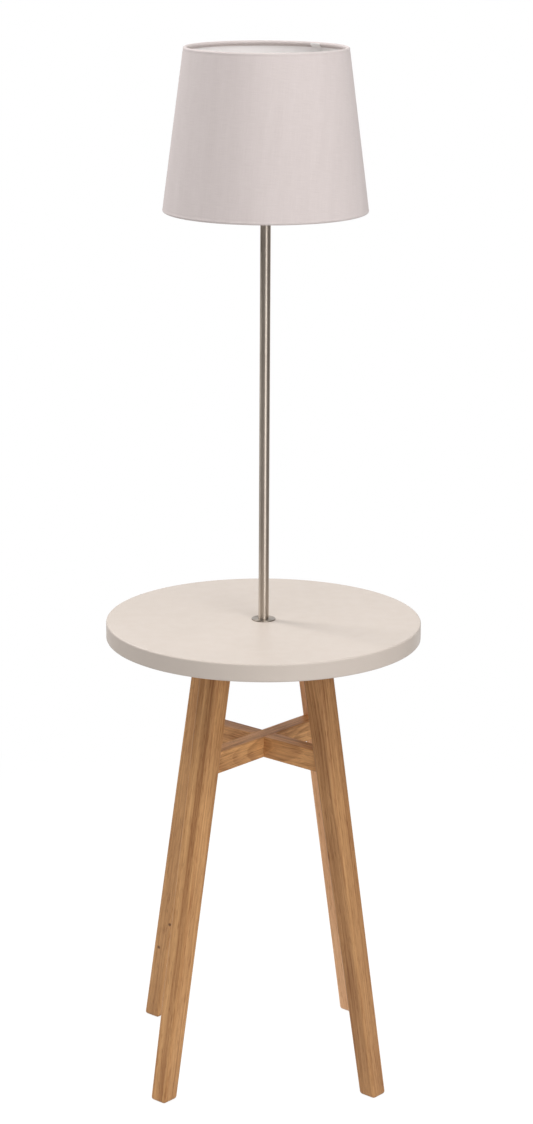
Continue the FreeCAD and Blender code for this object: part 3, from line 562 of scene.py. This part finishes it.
STEM_BORE_RADIUS, STEM_EASING = 0.0043, 0.0004
bm = turned_ring("stem_tube", STEM_BORE_RADIUS, steps=96,
                 rounds=[(corner, STEM_EASING, 3) for corner in (1, 2)])
piece(bm, "lamp_stem", "stand", ["stem_tube"],
      brushed_nickel("nickel_stem", 5200, 45, (0.560, 0.490, 0.420, 1), (0.680, 0.605, 0.525, 1)))

# the flange's nickel is darker than the stem's: painted shade for the darker surroundings that its flat face
# reflects
FLANGE_EASING = 0.0006
bm = turned_ring("stem_flange", NIPPLE_HOLE_RADIUS, steps=96, rounds=[(2, FLANGE_EASING, 4)])
piece(bm, "foot_flange", "stand", ["stem_flange"],
      brushed_nickel("nickel_flange_painted_shade", 2600, 2600, (0.260, 0.220, 0.185, 1), (0.350, 0.305, 0.260, 1)))


# ---- threaded tubes, washer, nut and bush ---------------------------------------------------------
# Two zinc-plated threaded tubes: one through the top and the rails, clamped from below by a washer and
# nut, the other between stem and lampholder. A black bush on the lower end saves the flex from the edge.

# a thread's flank over one pitch: (share of the pitch, share of the depth)
V_THREAD = ((0.0, 1.0), (0.44, 0.0), (0.56, 0.0), (1.0, 1.0))


def cut_thread(bm, radius, depth, pitch, low, high, form=V_THREAD, steps=24):
    """Fills an empty bmesh with a screw thread's wall between two heights: its flank spun upwards,
    welded turn to turn and trimmed level."""
    turns = math.ceil((high - low) / pitch) + 2
    flank = [bm.verts.new((radius - depth * sunk, 0, low + (share - 1) * pitch)) for share, sunk in form]
    edges = [bm.edges.new(pair) for pair in zip(flank, flank[1:])]
    bmesh.ops.spin(bm, geom=flank + edges, cent=(0, 0, 0), axis=(0, 0, 1), dvec=(0, 0, pitch / steps),
                   angle=math.tau * turns, steps=steps * turns, use_merge=False)
    bmesh.ops.remove_doubles(bm, verts=bm.verts, dist=WELD)
    for level, way in ((low, -1), (high, 1)):
        bmesh.ops.bisect_plane(bm, geom=bm.verts[:] + bm.edges[:] + bm.faces[:], plane_co=(0, 0, level),
                               plane_no=(0, 0, way), clear_outer=True, dist=CUT_SLACK)


NIPPLE_RADIUS, NIPPLE_BORE_RADIUS = 0.0050, 0.0040
NIPPLE_THREAD_DEPTH, NIPPLE_THREAD_PITCH = 0.00055, 0.001
for node in ("lower_nipple", "upper_nipple"):
    low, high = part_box(node)
    bm = bmesh.new()
    cut_thread(bm, NIPPLE_RADIUS, NIPPLE_THREAD_DEPTH, NIPPLE_THREAD_PITCH, low.z, high.z)
    turn_wall(bm, [(NIPPLE_BORE_RADIUS, low.z), (NIPPLE_BORE_RADIUS, high.z)], steps=24)
    bridge_rims(bm, low.z, high.z)
    piece(bm, "threaded_" + node, "stand", [node], ZINC)

WASHER_EASING = 0.0004
bm = turned_ring("clamp_washer", NIPPLE_HOLE_RADIUS, steps=64,
                 rounds=[(corner, WASHER_EASING, 2) for corner in (0, 1, 2)])
piece(bm, "plated_washer", "stand", ["clamp_washer"], ZINC)
finish_node("clamp_nut", ZINC)

BLACK = surfaced("black_plastic", (0.022, 0.022, 0.024), (0.034, 0.034, 0.036), 0.42, 0.58)
low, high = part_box("cord_bush")
BUSH_OUTLET_RADIUS, BUSH_OUTLET_LENGTH, BUSH_EASING = 0.0037, 0.005, 0.0012
BUSH_CLEARANCE = 0.00005
seat_radius = NIPPLE_RADIUS + BUSH_CLEARANCE
bm = lathe([(BUSH_OUTLET_RADIUS, low.z), (high.x, low.z), (high.x, high.z), (seat_radius, high.z),
            (seat_radius, low.z + BUSH_OUTLET_LENGTH), (BUSH_OUTLET_RADIUS, low.z + BUSH_OUTLET_LENGTH)],
           steps=48, rounds=((0, BUSH_EASING, 4), (1, BUSH_EASING, 4), (2, BUSH_EASING / 3, 2)))
piece(bm, "outlet_bush", "stand", ["cord_bush"], BLACK)


# ---- lampholder -----------------------------------------------------------------------------------
# A switched lampholder of white thermoplastic: a domed cap with the base block in it, and a skirt with
# a coarse outside thread, on whose shoulder the shade's hub lies. Inside are the ceramic and the brass.

WHITE = surfaced("white_plastic", (0.70, 0.69, 0.66), (0.78, 0.77, 0.74), 0.30, 0.42, Specular_IOR_Level=0.5)
CERAMIC = surfaced("steatite", (0.70, 0.67, 0.61), (0.80, 0.77, 0.71), 0.55, 0.75, marks=90.0, depth=0.00006)
BRASS = surfaced("stamped_brass", (0.60, 0.41, 0.15), (0.74, 0.54, 0.24), 0.20, 0.38, metallic=1.0)
for node, material in (("lampholder_cap", WHITE), ("lampholder_base", WHITE), ("shade_ring", WHITE),
                       ("lampholder_insulator", CERAMIC), ("lampholder_shell", BRASS),
                       ("centre_contact", BRASS), ("terminal_screws", BRASS), ("switch_bar", BLACK)):
    finish_node(node, material)

ROUND_THREAD = ((0.0, 1.0), (0.12, 0.85), (0.30, 0.15), (0.42, 0.0),
                (0.58, 0.0), (0.70, 0.15), (0.88, 0.85), (1.0, 1.0))
SKIRT_RADIUS, SKIRT_INNER_RADIUS, SKIRT_MOUTH_RADIUS = 0.0200, 0.0176, 0.0143
SHOULDER_THICKNESS, LIP_THICKNESS, SKIRT_EASING, SKIRT_CHAMFER = 0.0030, 0.0020, 0.0010, 0.0004
SKIRT_STEP, SKIRT_BROW = 0.0002, 0.0003      # in from the thread's root, and down from the top edge
SKIRT_THREAD_DEPTH, SKIRT_THREAD_PITCH, SKIRT_THREAD_STEPS = 0.0008, 0.0025, 48

low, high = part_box("lampholder_skirt")
thread_low, thread_high = low.z + SHOULDER_THICKNESS, high.z - SKIRT_EASING
bm = bmesh.new()
cut_thread(bm, SKIRT_RADIUS, SKIRT_THREAD_DEPTH, SKIRT_THREAD_PITCH, thread_low, thread_high,
           ROUND_THREAD, SKIRT_THREAD_STEPS)
neck = SKIRT_RADIUS - SKIRT_THREAD_DEPTH
turn_wall(bm, [(neck - SKIRT_STEP, thread_high), (neck - SKIRT_EASING / 2, high.z - SKIRT_BROW),
               (neck - SKIRT_EASING, high.z), (SKIRT_MOUTH_RADIUS + SKIRT_CHAMFER, high.z),
               (SKIRT_MOUTH_RADIUS, high.z - SKIRT_CHAMFER), (SKIRT_MOUTH_RADIUS, high.z - LIP_THICKNESS),
               (SKIRT_INNER_RADIUS, high.z - LIP_THICKNESS), (SKIRT_INNER_RADIUS, low.z),
               (high.x - SKIRT_CHAMFER, low.z), (high.x, low.z + SKIRT_CHAMFER),
               (high.x, thread_low - SKIRT_CHAMFER), (high.x - SKIRT_CHAMFER, thread_low)], steps=96)
bridge_rims(bm, thread_high, thread_low)
piece(bm, "threaded_skirt", "stand", ["lampholder_skirt"], WHITE)


# ---- bulb -----------------------------------------------------------------------------------------
# A globe bulb: a rolled screw cap with its contact below, a flared white housing, and an opal globe
# that sits in the housing's rim.

CAP_METAL = surfaced("rolled_cap_metal", (0.55, 0.55, 0.56), (0.66, 0.66, 0.66), 0.25, 0.40, metallic=1.0)
HOUSING = surfaced("bulb_housing", (0.76, 0.76, 0.75), (0.82, 0.82, 0.81), 0.25, 0.34)
OPAL = surfaced("opal_plastic", (0.66, 0.66, 0.65), (0.71, 0.71, 0.70), 0.38, 0.46, marks=18.0,
                depth=0.000006, Specular_IOR_Level=0.5)
CAP_THREAD_DEPTH, CAP_THREAD_PITCH = 0.0010, 0.003629
CAP_SLEEVE_WALL, CAP_TIP_RADIUS, CAP_TIP_HEIGHT, CAP_GLASS_HEIGHT = 0.0003, 0.0048, 0.0015, 0.0040
CAP_TIP_EDGE = ((0.0012, 0.0), (0.0003, 0.0004))         # in from the tip's radius, and up
CAP_GLASS_EDGE = (0.0015, 0.0014)        # in from the thread's root, and down from the sleeve
CAP_FLOOR, CAP_THREAD_STEPS = 0.001, 48

low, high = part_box("bulb_cap")
sleeve_radius = high.x
sleeve_low, sleeve_high = low.z + CAP_TIP_HEIGHT + CAP_GLASS_HEIGHT + CAP_FLOOR, high.z
bm = bmesh.new()
cut_thread(bm, sleeve_radius, CAP_THREAD_DEPTH, CAP_THREAD_PITCH, sleeve_low, sleeve_high, ROUND_THREAD,
           CAP_THREAD_STEPS)
root_radius = sleeve_radius - CAP_THREAD_DEPTH
turn_wall(bm, [(0, low.z), *((CAP_TIP_RADIUS - inset, low.z + rise) for inset, rise in CAP_TIP_EDGE),
               (CAP_TIP_RADIUS, low.z + CAP_TIP_HEIGHT),
               (root_radius - CAP_GLASS_EDGE[0], sleeve_low - CAP_GLASS_EDGE[1]),
               (root_radius - CAP_SLEEVE_WALL, sleeve_low)], steps=48)
turn_wall(bm, [(root_radius - CAP_SLEEVE_WALL, sleeve_high),
               (root_radius - CAP_SLEEVE_WALL, sleeve_low + CAP_FLOOR),
               (0, sleeve_low + CAP_FLOOR)], steps=48)
bridge_rims(bm, sleeve_low, sleeve_high)
piece(bm, "screw_cap", "stand", ["bulb_cap"], CAP_METAL)

low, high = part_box("bulb_housing")
GLOBE_RADIUS, GLOBE_WALL, HOUSING_NECK_RADIUS, HOUSING_NECK_HEIGHT = 0.030, 0.0012, 0.0150, 0.0060
HOUSING_OVERHANG, HOUSING_EASING, HOUSING_NECK_EASING = 0.0003, 0.0008, 0.004
bm = lathe([(0, low.z), (sleeve_radius + HOUSING_OVERHANG, low.z),
            (HOUSING_NECK_RADIUS, low.z + HOUSING_NECK_HEIGHT), (high.x, high.z), (0, high.z)], steps=96,
           rounds=((1, HOUSING_EASING, 3), (2, HOUSING_NECK_EASING, 4), (3, HOUSING_EASING, 3)))
piece(bm, "flared_housing", "stand", ["bulb_housing"], HOUSING)

globe_low, globe_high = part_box("bulb_globe")
globe_centre = globe_high.z - GLOBE_RADIUS
rim_angle = math.asin((globe_low.z - globe_centre) / GLOBE_RADIUS)
GLOBE_BANDS = 40
dome = []
for band in range(GLOBE_BANDS + 1):
    angle = rim_angle + (math.pi / 2 - rim_angle) * band / GLOBE_BANDS
    dome.append((GLOBE_RADIUS * math.cos(angle) if band < GLOBE_BANDS else 0.0,
                 globe_centre + GLOBE_RADIUS * math.sin(angle)))
bm = bmesh.new()
turn_wall(bm, dome, steps=96)
bmesh.ops.recalc_face_normals(bm, faces=bm.faces)
bmesh.ops.solidify(bm, geom=bm.faces[:], thickness=GLOBE_WALL)
piece(bm, "opal_globe", "stand", ["bulb_globe"], OPAL)


# ---- shade ----------------------------------------------------------------------------------------
# A tapered drum of plain-weave cloth bonded to a stiff sheet. Its edges are turned in over two rings
# of wire, and its ends overlap in one upright seam towards the back.

low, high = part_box("shade_cover")
SHADE_BOTTOM, SHADE_TOP = low.z, high.z
SHADE_BOTTOM_RADIUS, SHADE_TOP_RADIUS = high.x, 0.1009
SEAM_AZIMUTH = math.radians(47)
SEAM_WIDTH = 0.0126
CLOTH_THICKNESS = 0.0004
STIFF_SHEET_THICKNESS = 0.0003
THREAD_PITCH = 0.00062
HEM_RADIUS = 0.0021              # from the wire's centre to the wall's outer face
ROLL_RADIUS = 0.0023             # of the cloth turned over the wire
HEM_DEPTH = 0.0045
HEM_SLOPE = 0.0030               # below the wire the turned-in cloth comes back to the wall
HEM_PINCH, HEM_PINCH_DEPTH = 0.00012, 0.0034             # the wall draws in a little before the roll
ROLL_START, ROLL_SWEEP, ROLL_STEPS = math.radians(-35), math.radians(250), 10
SHADE_STEPS = 256
GLUE_LINE = 0.00004
SHEET_LET_THROUGH = 0.05         # the share of light that each layer passes on

bottom_wire = Vector((SHADE_BOTTOM_RADIUS - HEM_RADIUS, SHADE_BOTTOM + HEM_RADIUS))
top_wire = Vector((SHADE_TOP_RADIUS - HEM_RADIUS, SHADE_TOP - HEM_RADIUS))
up_wall = (top_wire - bottom_wire).normalized()
out_of_wall = Vector((up_wall.y, -up_wall.x))
SHADE_TAPER = -up_wall.x                                 # the sine of the cone's half angle
APEX_TO_TOP = SHADE_TOP_RADIUS / SHADE_TAPER


def let_light_through(tree, shader, colour):
    """Mixes in a little light from the layer's other side."""
    behind = add(tree, "BsdfTranslucent", {"Color": colour})
    both = add(tree, "MixShader", {0: SHEET_LET_THROUGH, 1: shader.outputs[0], 2: behind.outputs[0]})
    tree.links.new(both.outputs[0], tree.nodes["Material Output"].inputs["Surface"])


def cloth():
    """Plain-weave cloth on the shade's own flat cut: threads over and under, slubs and a soft bloom."""
    material, tree, shader = new_material("greige_cloth", roughness=0.85, Specular_IOR_Level=0.2,
                                          Sheen_Weight=0.08, Sheen_Roughness=0.5)
    cut = add(tree, "UVMap", uv_map="cut").outputs[0]
    thread = scaled(tree, cut, 1 / THREAD_PITCH, 1 / THREAD_PITCH, 0)
    over = add(tree, "TexChecker", {"Vector": thread, "Color1": (1, 1, 1, 1), "Color2": (0, 0, 0, 1),
                                    "Scale": 1.0}).outputs["Fac"]
    axes = add(tree, "SeparateXYZ", {0: thread})
    crowns = []
    for axis in ("X", "Y"):
        turn = maths(tree, "MULTIPLY", axes.outputs[axis], math.pi)
        crowns.append(maths(tree, "ABSOLUTE", maths(tree, "SINE", turn)))
    weave = maths(tree, "ADD", maths(tree, "MULTIPLY", crowns[0], over),
                  maths(tree, "MULTIPLY", crowns[1], maths(tree, "SUBTRACT", 1.0, over)))
    weft = noise(tree, scaled(tree, cut, 60, 1700, 0))
    warp = noise(tree, scaled(tree, cut, 1500, 40, 0))
    slubs = ramped(tree, noise(tree, scaled(tree, cut, 45, 900, 0), detail=1.0), 0.62, 0.74)
    clouds = noise(tree, scaled(tree, cut, 70, 6, 0), detail=3.0)
    tone = maths(tree, "MULTIPLY_ADD", maths(tree, "SUBTRACT", weave, 0.6), 0.12, 0.5)
    for part, strength in ((weft, 0.5), (warp, 0.40), (clouds, 0.30)):
        tone = shifted(tree, tone, part, strength)
    tone = maths(tree, "MULTIPLY_ADD", slubs, -0.10, tone, clamp=True)
    colour = mixed(tree, tone, (0.562, 0.491, 0.473, 1), (0.742, 0.669, 0.650, 1))
    height = maths(tree, "MULTIPLY_ADD", weft, 0.5, weave)
    link_surface(tree, shader, colour, height, strength=0.3, depth=0.00010)
    let_light_through(tree, shader, colour)
    return material


def lining(name, low_colour, high_colour):
    """The inside of the shade: smooth, off-white and a little glossy."""
    material, tree, shader = new_material(name, Specular_IOR_Level=0.4)
    place = add(tree, "TexCoord").outputs["Object"]
    clouds = ramped(tree, noise(tree, place, scale=30.0, detail=4.0), 0.3, 0.7)
    colour = mixed(tree, clouds, (*low_colour, 1), (*high_colour, 1))
    ripple = noise(tree, place, scale=250.0)
    link_surface(tree, shader, colour, ripple, strength=0.1, depth=0.0001,
                 roughness=ramped(tree, clouds, 0.0, 1.0, 0.45, 0.6))
    let_light_through(tree, shader, colour)
    return material


def hem_side(wire, out, up):
    """A point of the shade's section, measured out of and along its wall from a wire's centre."""
    return wire + out_of_wall * out + up_wall * up


def hem_roll(wire, way):
    """The cloth turned over a wire, from outside to inside: way 1 over the top wire, -1 under the
    bottom one."""
    angles = [ROLL_START + ROLL_SWEEP * step / ROLL_STEPS for step in range(ROLL_STEPS + 1)]
    return [hem_side(wire, ROLL_RADIUS * math.cos(angle), way * ROLL_RADIUS * math.sin(angle))
            for angle in angles]


def half_section(wire, way):
    """From the outer wall round the hem to the cloth's inner face, at one end of the shade."""
    flap = HEM_RADIUS - CLOTH_THICKNESS - STIFF_SHEET_THICKNESS
    return [hem_side(wire, HEM_RADIUS, -way * HEM_DEPTH),
            hem_side(wire, HEM_RADIUS - HEM_PINCH, -way * HEM_PINCH_DEPTH),
            *hem_roll(wire, way),
            hem_side(wire, flap - CLOTH_THICKNESS, -way * HEM_SLOPE),
            hem_side(wire, flap - CLOTH_THICKNESS, -way * HEM_DEPTH),
            hem_side(wire, flap, -way * HEM_DEPTH),
            hem_side(wire, HEM_RADIUS - CLOTH_THICKNESS, -way * HEM_SLOPE)]


section = half_section(top_wire, 1) + half_section(bottom_wire, -1)[::-1]
bm = bmesh.new()
turn_wall(bm, section, SHADE_STEPS, closed=True)
# the overlap: the cloth's free end stands a thread's height proud along the seam
STEP_WIDTH, STEP_SLACK = math.radians(0.15), 1e-6        # the slack keeps the step's own points past it
for turn in (SEAM_AZIMUTH, SEAM_AZIMUTH + STEP_WIDTH):
    bmesh.ops.bisect_plane(bm, geom=bm.verts[:] + bm.edges[:] + bm.faces[:], plane_co=(0, 0, 0),
                           plane_no=(-math.sin(turn), math.cos(turn), 0), dist=CUT_SLACK)
bmesh.ops.recalc_face_normals(bm, faces=bm.faces)
for vert in bm.verts:
    past = (math.atan2(vert.co.y, vert.co.x) - SEAM_AZIMUTH - STEP_WIDTH + STEP_SLACK) % math.tau
    share = past * vert.co.xy.length / SEAM_WIDTH
    if share < 1:
        vert.co.xy *= 1 + CLOTH_THICKNESS * (1 - share) / vert.co.xy.length

# every face is laid out on the flat cut, a ring sector about the cone's tip that opens at the seam
cut = bm.loops.layers.uv.new("cut")
for face in bm.faces:
    middle = face.calc_center_median()
    centre = (math.atan2(middle.y, middle.x) - SEAM_AZIMUTH) % math.tau
    for loop in face.loops:
        angle = (math.atan2(loop.vert.co.y, loop.vert.co.x) - SEAM_AZIMUTH) % math.tau
        if abs(angle - centre) > math.pi:
            angle += math.tau if angle < centre else -math.tau
        swing = (angle - math.pi) * SHADE_TAPER
        reach = APEX_TO_TOP + SHADE_TOP - loop.vert.co.z         # from the cone's tip
        loop[cut].uv = (reach * math.sin(swing), -reach * math.cos(swing))
cover = piece(bm, "shade_cloth_cover", "shade", ["shade_cover"], cloth())

LINING = lining("off_white_lining", (0.930, 0.896, 0.882), (0.955, 0.925, 0.912))
sheet_out = HEM_RADIUS - CLOTH_THICKNESS - GLUE_LINE
sheet_in = sheet_out - STIFF_SHEET_THICKNESS + GLUE_LINE
section = [hem_side(top_wire, sheet_out, -HEM_SLOPE), hem_side(top_wire, sheet_in, -HEM_SLOPE),
           hem_side(bottom_wire, sheet_in, HEM_SLOPE), hem_side(bottom_wire, sheet_out, HEM_SLOPE)]
inner_sheet = piece(lathe(section, SHADE_STEPS), "shade_stiff_sheet", "shade",
                    ["shade_cover"], LINING)

# the overlap seen from inside: a strip over both hems, whose free edge lifts off the wall a little
SEAM_LIFT, SEAM_SHEET, SEAM_ROWS, SEAM_COLUMNS = 0.0020, 0.0003, 24, 10
seam_out = sheet_in - CLOTH_THICKNESS - GLUE_LINE
seam_low, seam_high = hem_side(bottom_wire, seam_out, HEM_DEPTH), hem_side(top_wire, seam_out, -HEM_DEPTH)
seam_path = [seam_low.lerp(seam_high, row / SEAM_ROWS) for row in range(SEAM_ROWS + 1)]
over_roll = ROLL_RADIUS + SEAM_SHEET + GLUE_LINE
SEAM_ROLL_TURNS = (-0.5, -0.3, -0.1, 0.1, 0.3, 0.5)      # radians up the inside of the top roll
seam_path += [hem_side(top_wire, -over_roll * math.cos(turn), over_roll * math.sin(turn))
              for turn in SEAM_ROLL_TURNS]
bm = bmesh.new()
bmesh.ops.create_grid(bm, x_segments=SEAM_COLUMNS, y_segments=len(seam_path) - 1, size=0.5)
for vert in bm.verts:
    share = vert.co.x + 0.5
    place = seam_path[round((vert.co.y + 0.5) * (len(seam_path) - 1))]
    radius = place.x - SEAM_LIFT * share ** 3
    angle = SEAM_AZIMUTH + vert.co.x * SEAM_WIDTH / radius
    vert.co = (radius * math.cos(angle), radius * math.sin(angle), place.y)
bmesh.ops.recalc_face_normals(bm, faces=bm.faces)
bmesh.ops.solidify(bm, geom=bm.faces[:], thickness=SEAM_SHEET)
bmesh.ops.recalc_face_normals(bm, faces=bm.faces)
seam = piece(bm, "lining_overlap", "shade", ["shade_seam"],
             lining("seam_tape", (0.800, 0.775, 0.760), (0.840, 0.815, 0.800)))


# ---- shade frame ----------------------------------------------------------------------------------
# Steel wire under a white powder coat: a ring in each hem, and a flat hub with three arms that slope
# down to the lower ring.

POWDER = surfaced("white_powder_coat", (0.70, 0.69, 0.67), (0.76, 0.75, 0.73), 0.42, 0.55, marks=120.0,
                  depth=0.00008)
for node in ("shade_top_wire", "shade_bottom_wire", "shade_spider"):
    finish_node(node, POWDER)


# ---- floor, light and background ------------------------------------------------------------------
# A white studio: a floor that keeps a faint shadow and can't be seen from below, five soft boxes, and
# dark flags out of view that give the brushed metal its bands.

def seen_ray(tree):
    """1 for rays that show the studio, straight on or in gloss or glass, and 0 for those that only
    light the object."""
    path = add(tree, "LightPath").outputs
    seen = path["Is Camera Ray"]
    for ray in ("Is Glossy Ray", "Is Transmission Ray"):
        seen = maths(tree, "MAXIMUM", seen, path[ray])
    return seen


world = bpy.data.worlds.new("studio")
scene.world = world
world.use_nodes = True
tree = world.node_tree
sky = tree.nodes["Background"]
tree.links.new(mixed(tree, seen_ray(tree), (0.50, 0.50, 0.505, 1), (1, 1, 1, 1)), sky.inputs["Color"])

FLOOR_REACH, FLOOR_DROP = 12.0, 0.0002
GLOW_NEAR, GLOW_FAR = 0.3, 1.3           # from the stem: the floor turns plain white between these
material, tree, shader = new_material("white_floor")
tree.nodes.remove(shader)
place = add(tree, "TexCoord").outputs["Object"]
away = add(tree, "VectorMath", {0: place}, operation="LENGTH").outputs["Value"]
near = ramped(tree, away, GLOW_NEAR, GLOW_FAR, 1.0, 0.0)
paper = add(tree, "BsdfDiffuse", {"Color": (0.62, 0.62, 0.62, 1)})
faint = add(tree, "BsdfDiffuse", {"Color": mixed(tree, near, (0, 0, 0, 1), (0.16, 0.16, 0.16, 1))})
glow_colour = mixed(tree, near, (1, 1, 1, 1), (0.90, 0.90, 0.90, 1))
glow = add(tree, "Emission", {"Color": glow_colour, "Strength": 1.0})
white = add(tree, "AddShader", {0: faint.outputs[0], 1: glow.outputs[0]})
shown = add(tree, "MixShader", {0: seen_ray(tree), 1: paper.outputs[0], 2: white.outputs[0]})
clear = add(tree, "BsdfTransparent")
from_below = add(tree, "NewGeometry").outputs["Backfacing"]
one_way = add(tree, "MixShader", {0: from_below, 1: shown.outputs[0], 2: clear.outputs[0]})
tree.links.new(one_way.outputs[0], tree.nodes["Material Output"].inputs["Surface"])
bm = bmesh.new()
bmesh.ops.create_grid(bm, x_segments=1, y_segments=1, size=FLOOR_REACH)
studio_floor = new_object(bm, "studio_floor", material)
studio_floor.location.z = -FLOOR_DROP


def soft_box(name, place, aim, width, height, power, in_gloss=True):
    """An area light at a place, facing a point. One that isn't in the gloss leaves no bright band on
    metal."""
    light = bpy.data.lights.new(name, "AREA")
    light.shape = "RECTANGLE"
    light.size, light.size_y = width, height
    light.energy = power
    obj = bpy.data.objects.new(name, light)
    direction = Vector(aim) - Vector(place)
    obj.matrix_world = Matrix.Translation(place) @ direction.to_track_quat("-Z", "Y").to_matrix().to_4x4()
    obj.visible_glossy = in_gloss
    scene.collection.objects.link(obj)


soft_box("key_left_back", (-2.4, 1.5, 3.0), (0, 0, 0.7), 1.2, 1.6, 76)
soft_box("fill_front", (1.6, -2.8, 1.4), (0, 0, 0.7), 1.6, 2.2, 22, in_gloss=False)
soft_box("strip_right_front", (0.76, -2.1, 0.65), (0, 0, 0.65), 0.45, 1.7, 4.0)
soft_box("high_front", (0.95, -1.75, 3.2), (0, 0, 0.8), 1.6, 1.4, 25)
soft_box("overhead", (0.1, -1.0, 3.3), (0, 0, 0.7), 2.0, 1.6, 18)

# dark flags round the object: only polished metal shows them, as bands beside the studio's white
FLAG_DISTANCE, FLAG_HEIGHT = 1.2, 2.0
FLAG_SPANS = {"left_flag": (128, 270), "right_flag": (309, 38)}        # azimuths about the stem, in degrees
material, tree, shader = new_material("dark_flag")
tree.nodes.remove(shader)
dark = add(tree, "Emission", {"Color": (0.165, 0.158, 0.152, 1), "Strength": 1.0})
tree.links.new(dark.outputs[0], tree.nodes["Material Output"].inputs["Surface"])
for name, (start, end) in FLAG_SPANS.items():
    bm = bmesh.new()
    upright = [bm.verts.new((FLAG_DISTANCE, 0, height)) for height in (0.0, FLAG_HEIGHT)]
    edge = bm.edges.new(upright)
    bmesh.ops.rotate(bm, verts=upright, cent=(0, 0, 0), matrix=about_stem(start))
    bmesh.ops.spin(bm, geom=upright + [edge], cent=(0, 0, 0), axis=(0, 0, 1),
                   angle=math.radians((end - start) % 360), steps=24)
    flag = new_object(bm, name, material)
    flag.visible_camera = flag.visible_diffuse = flag.visible_shadow = flag.visible_transmission = False

scene.view_settings.view_transform = "Standard"
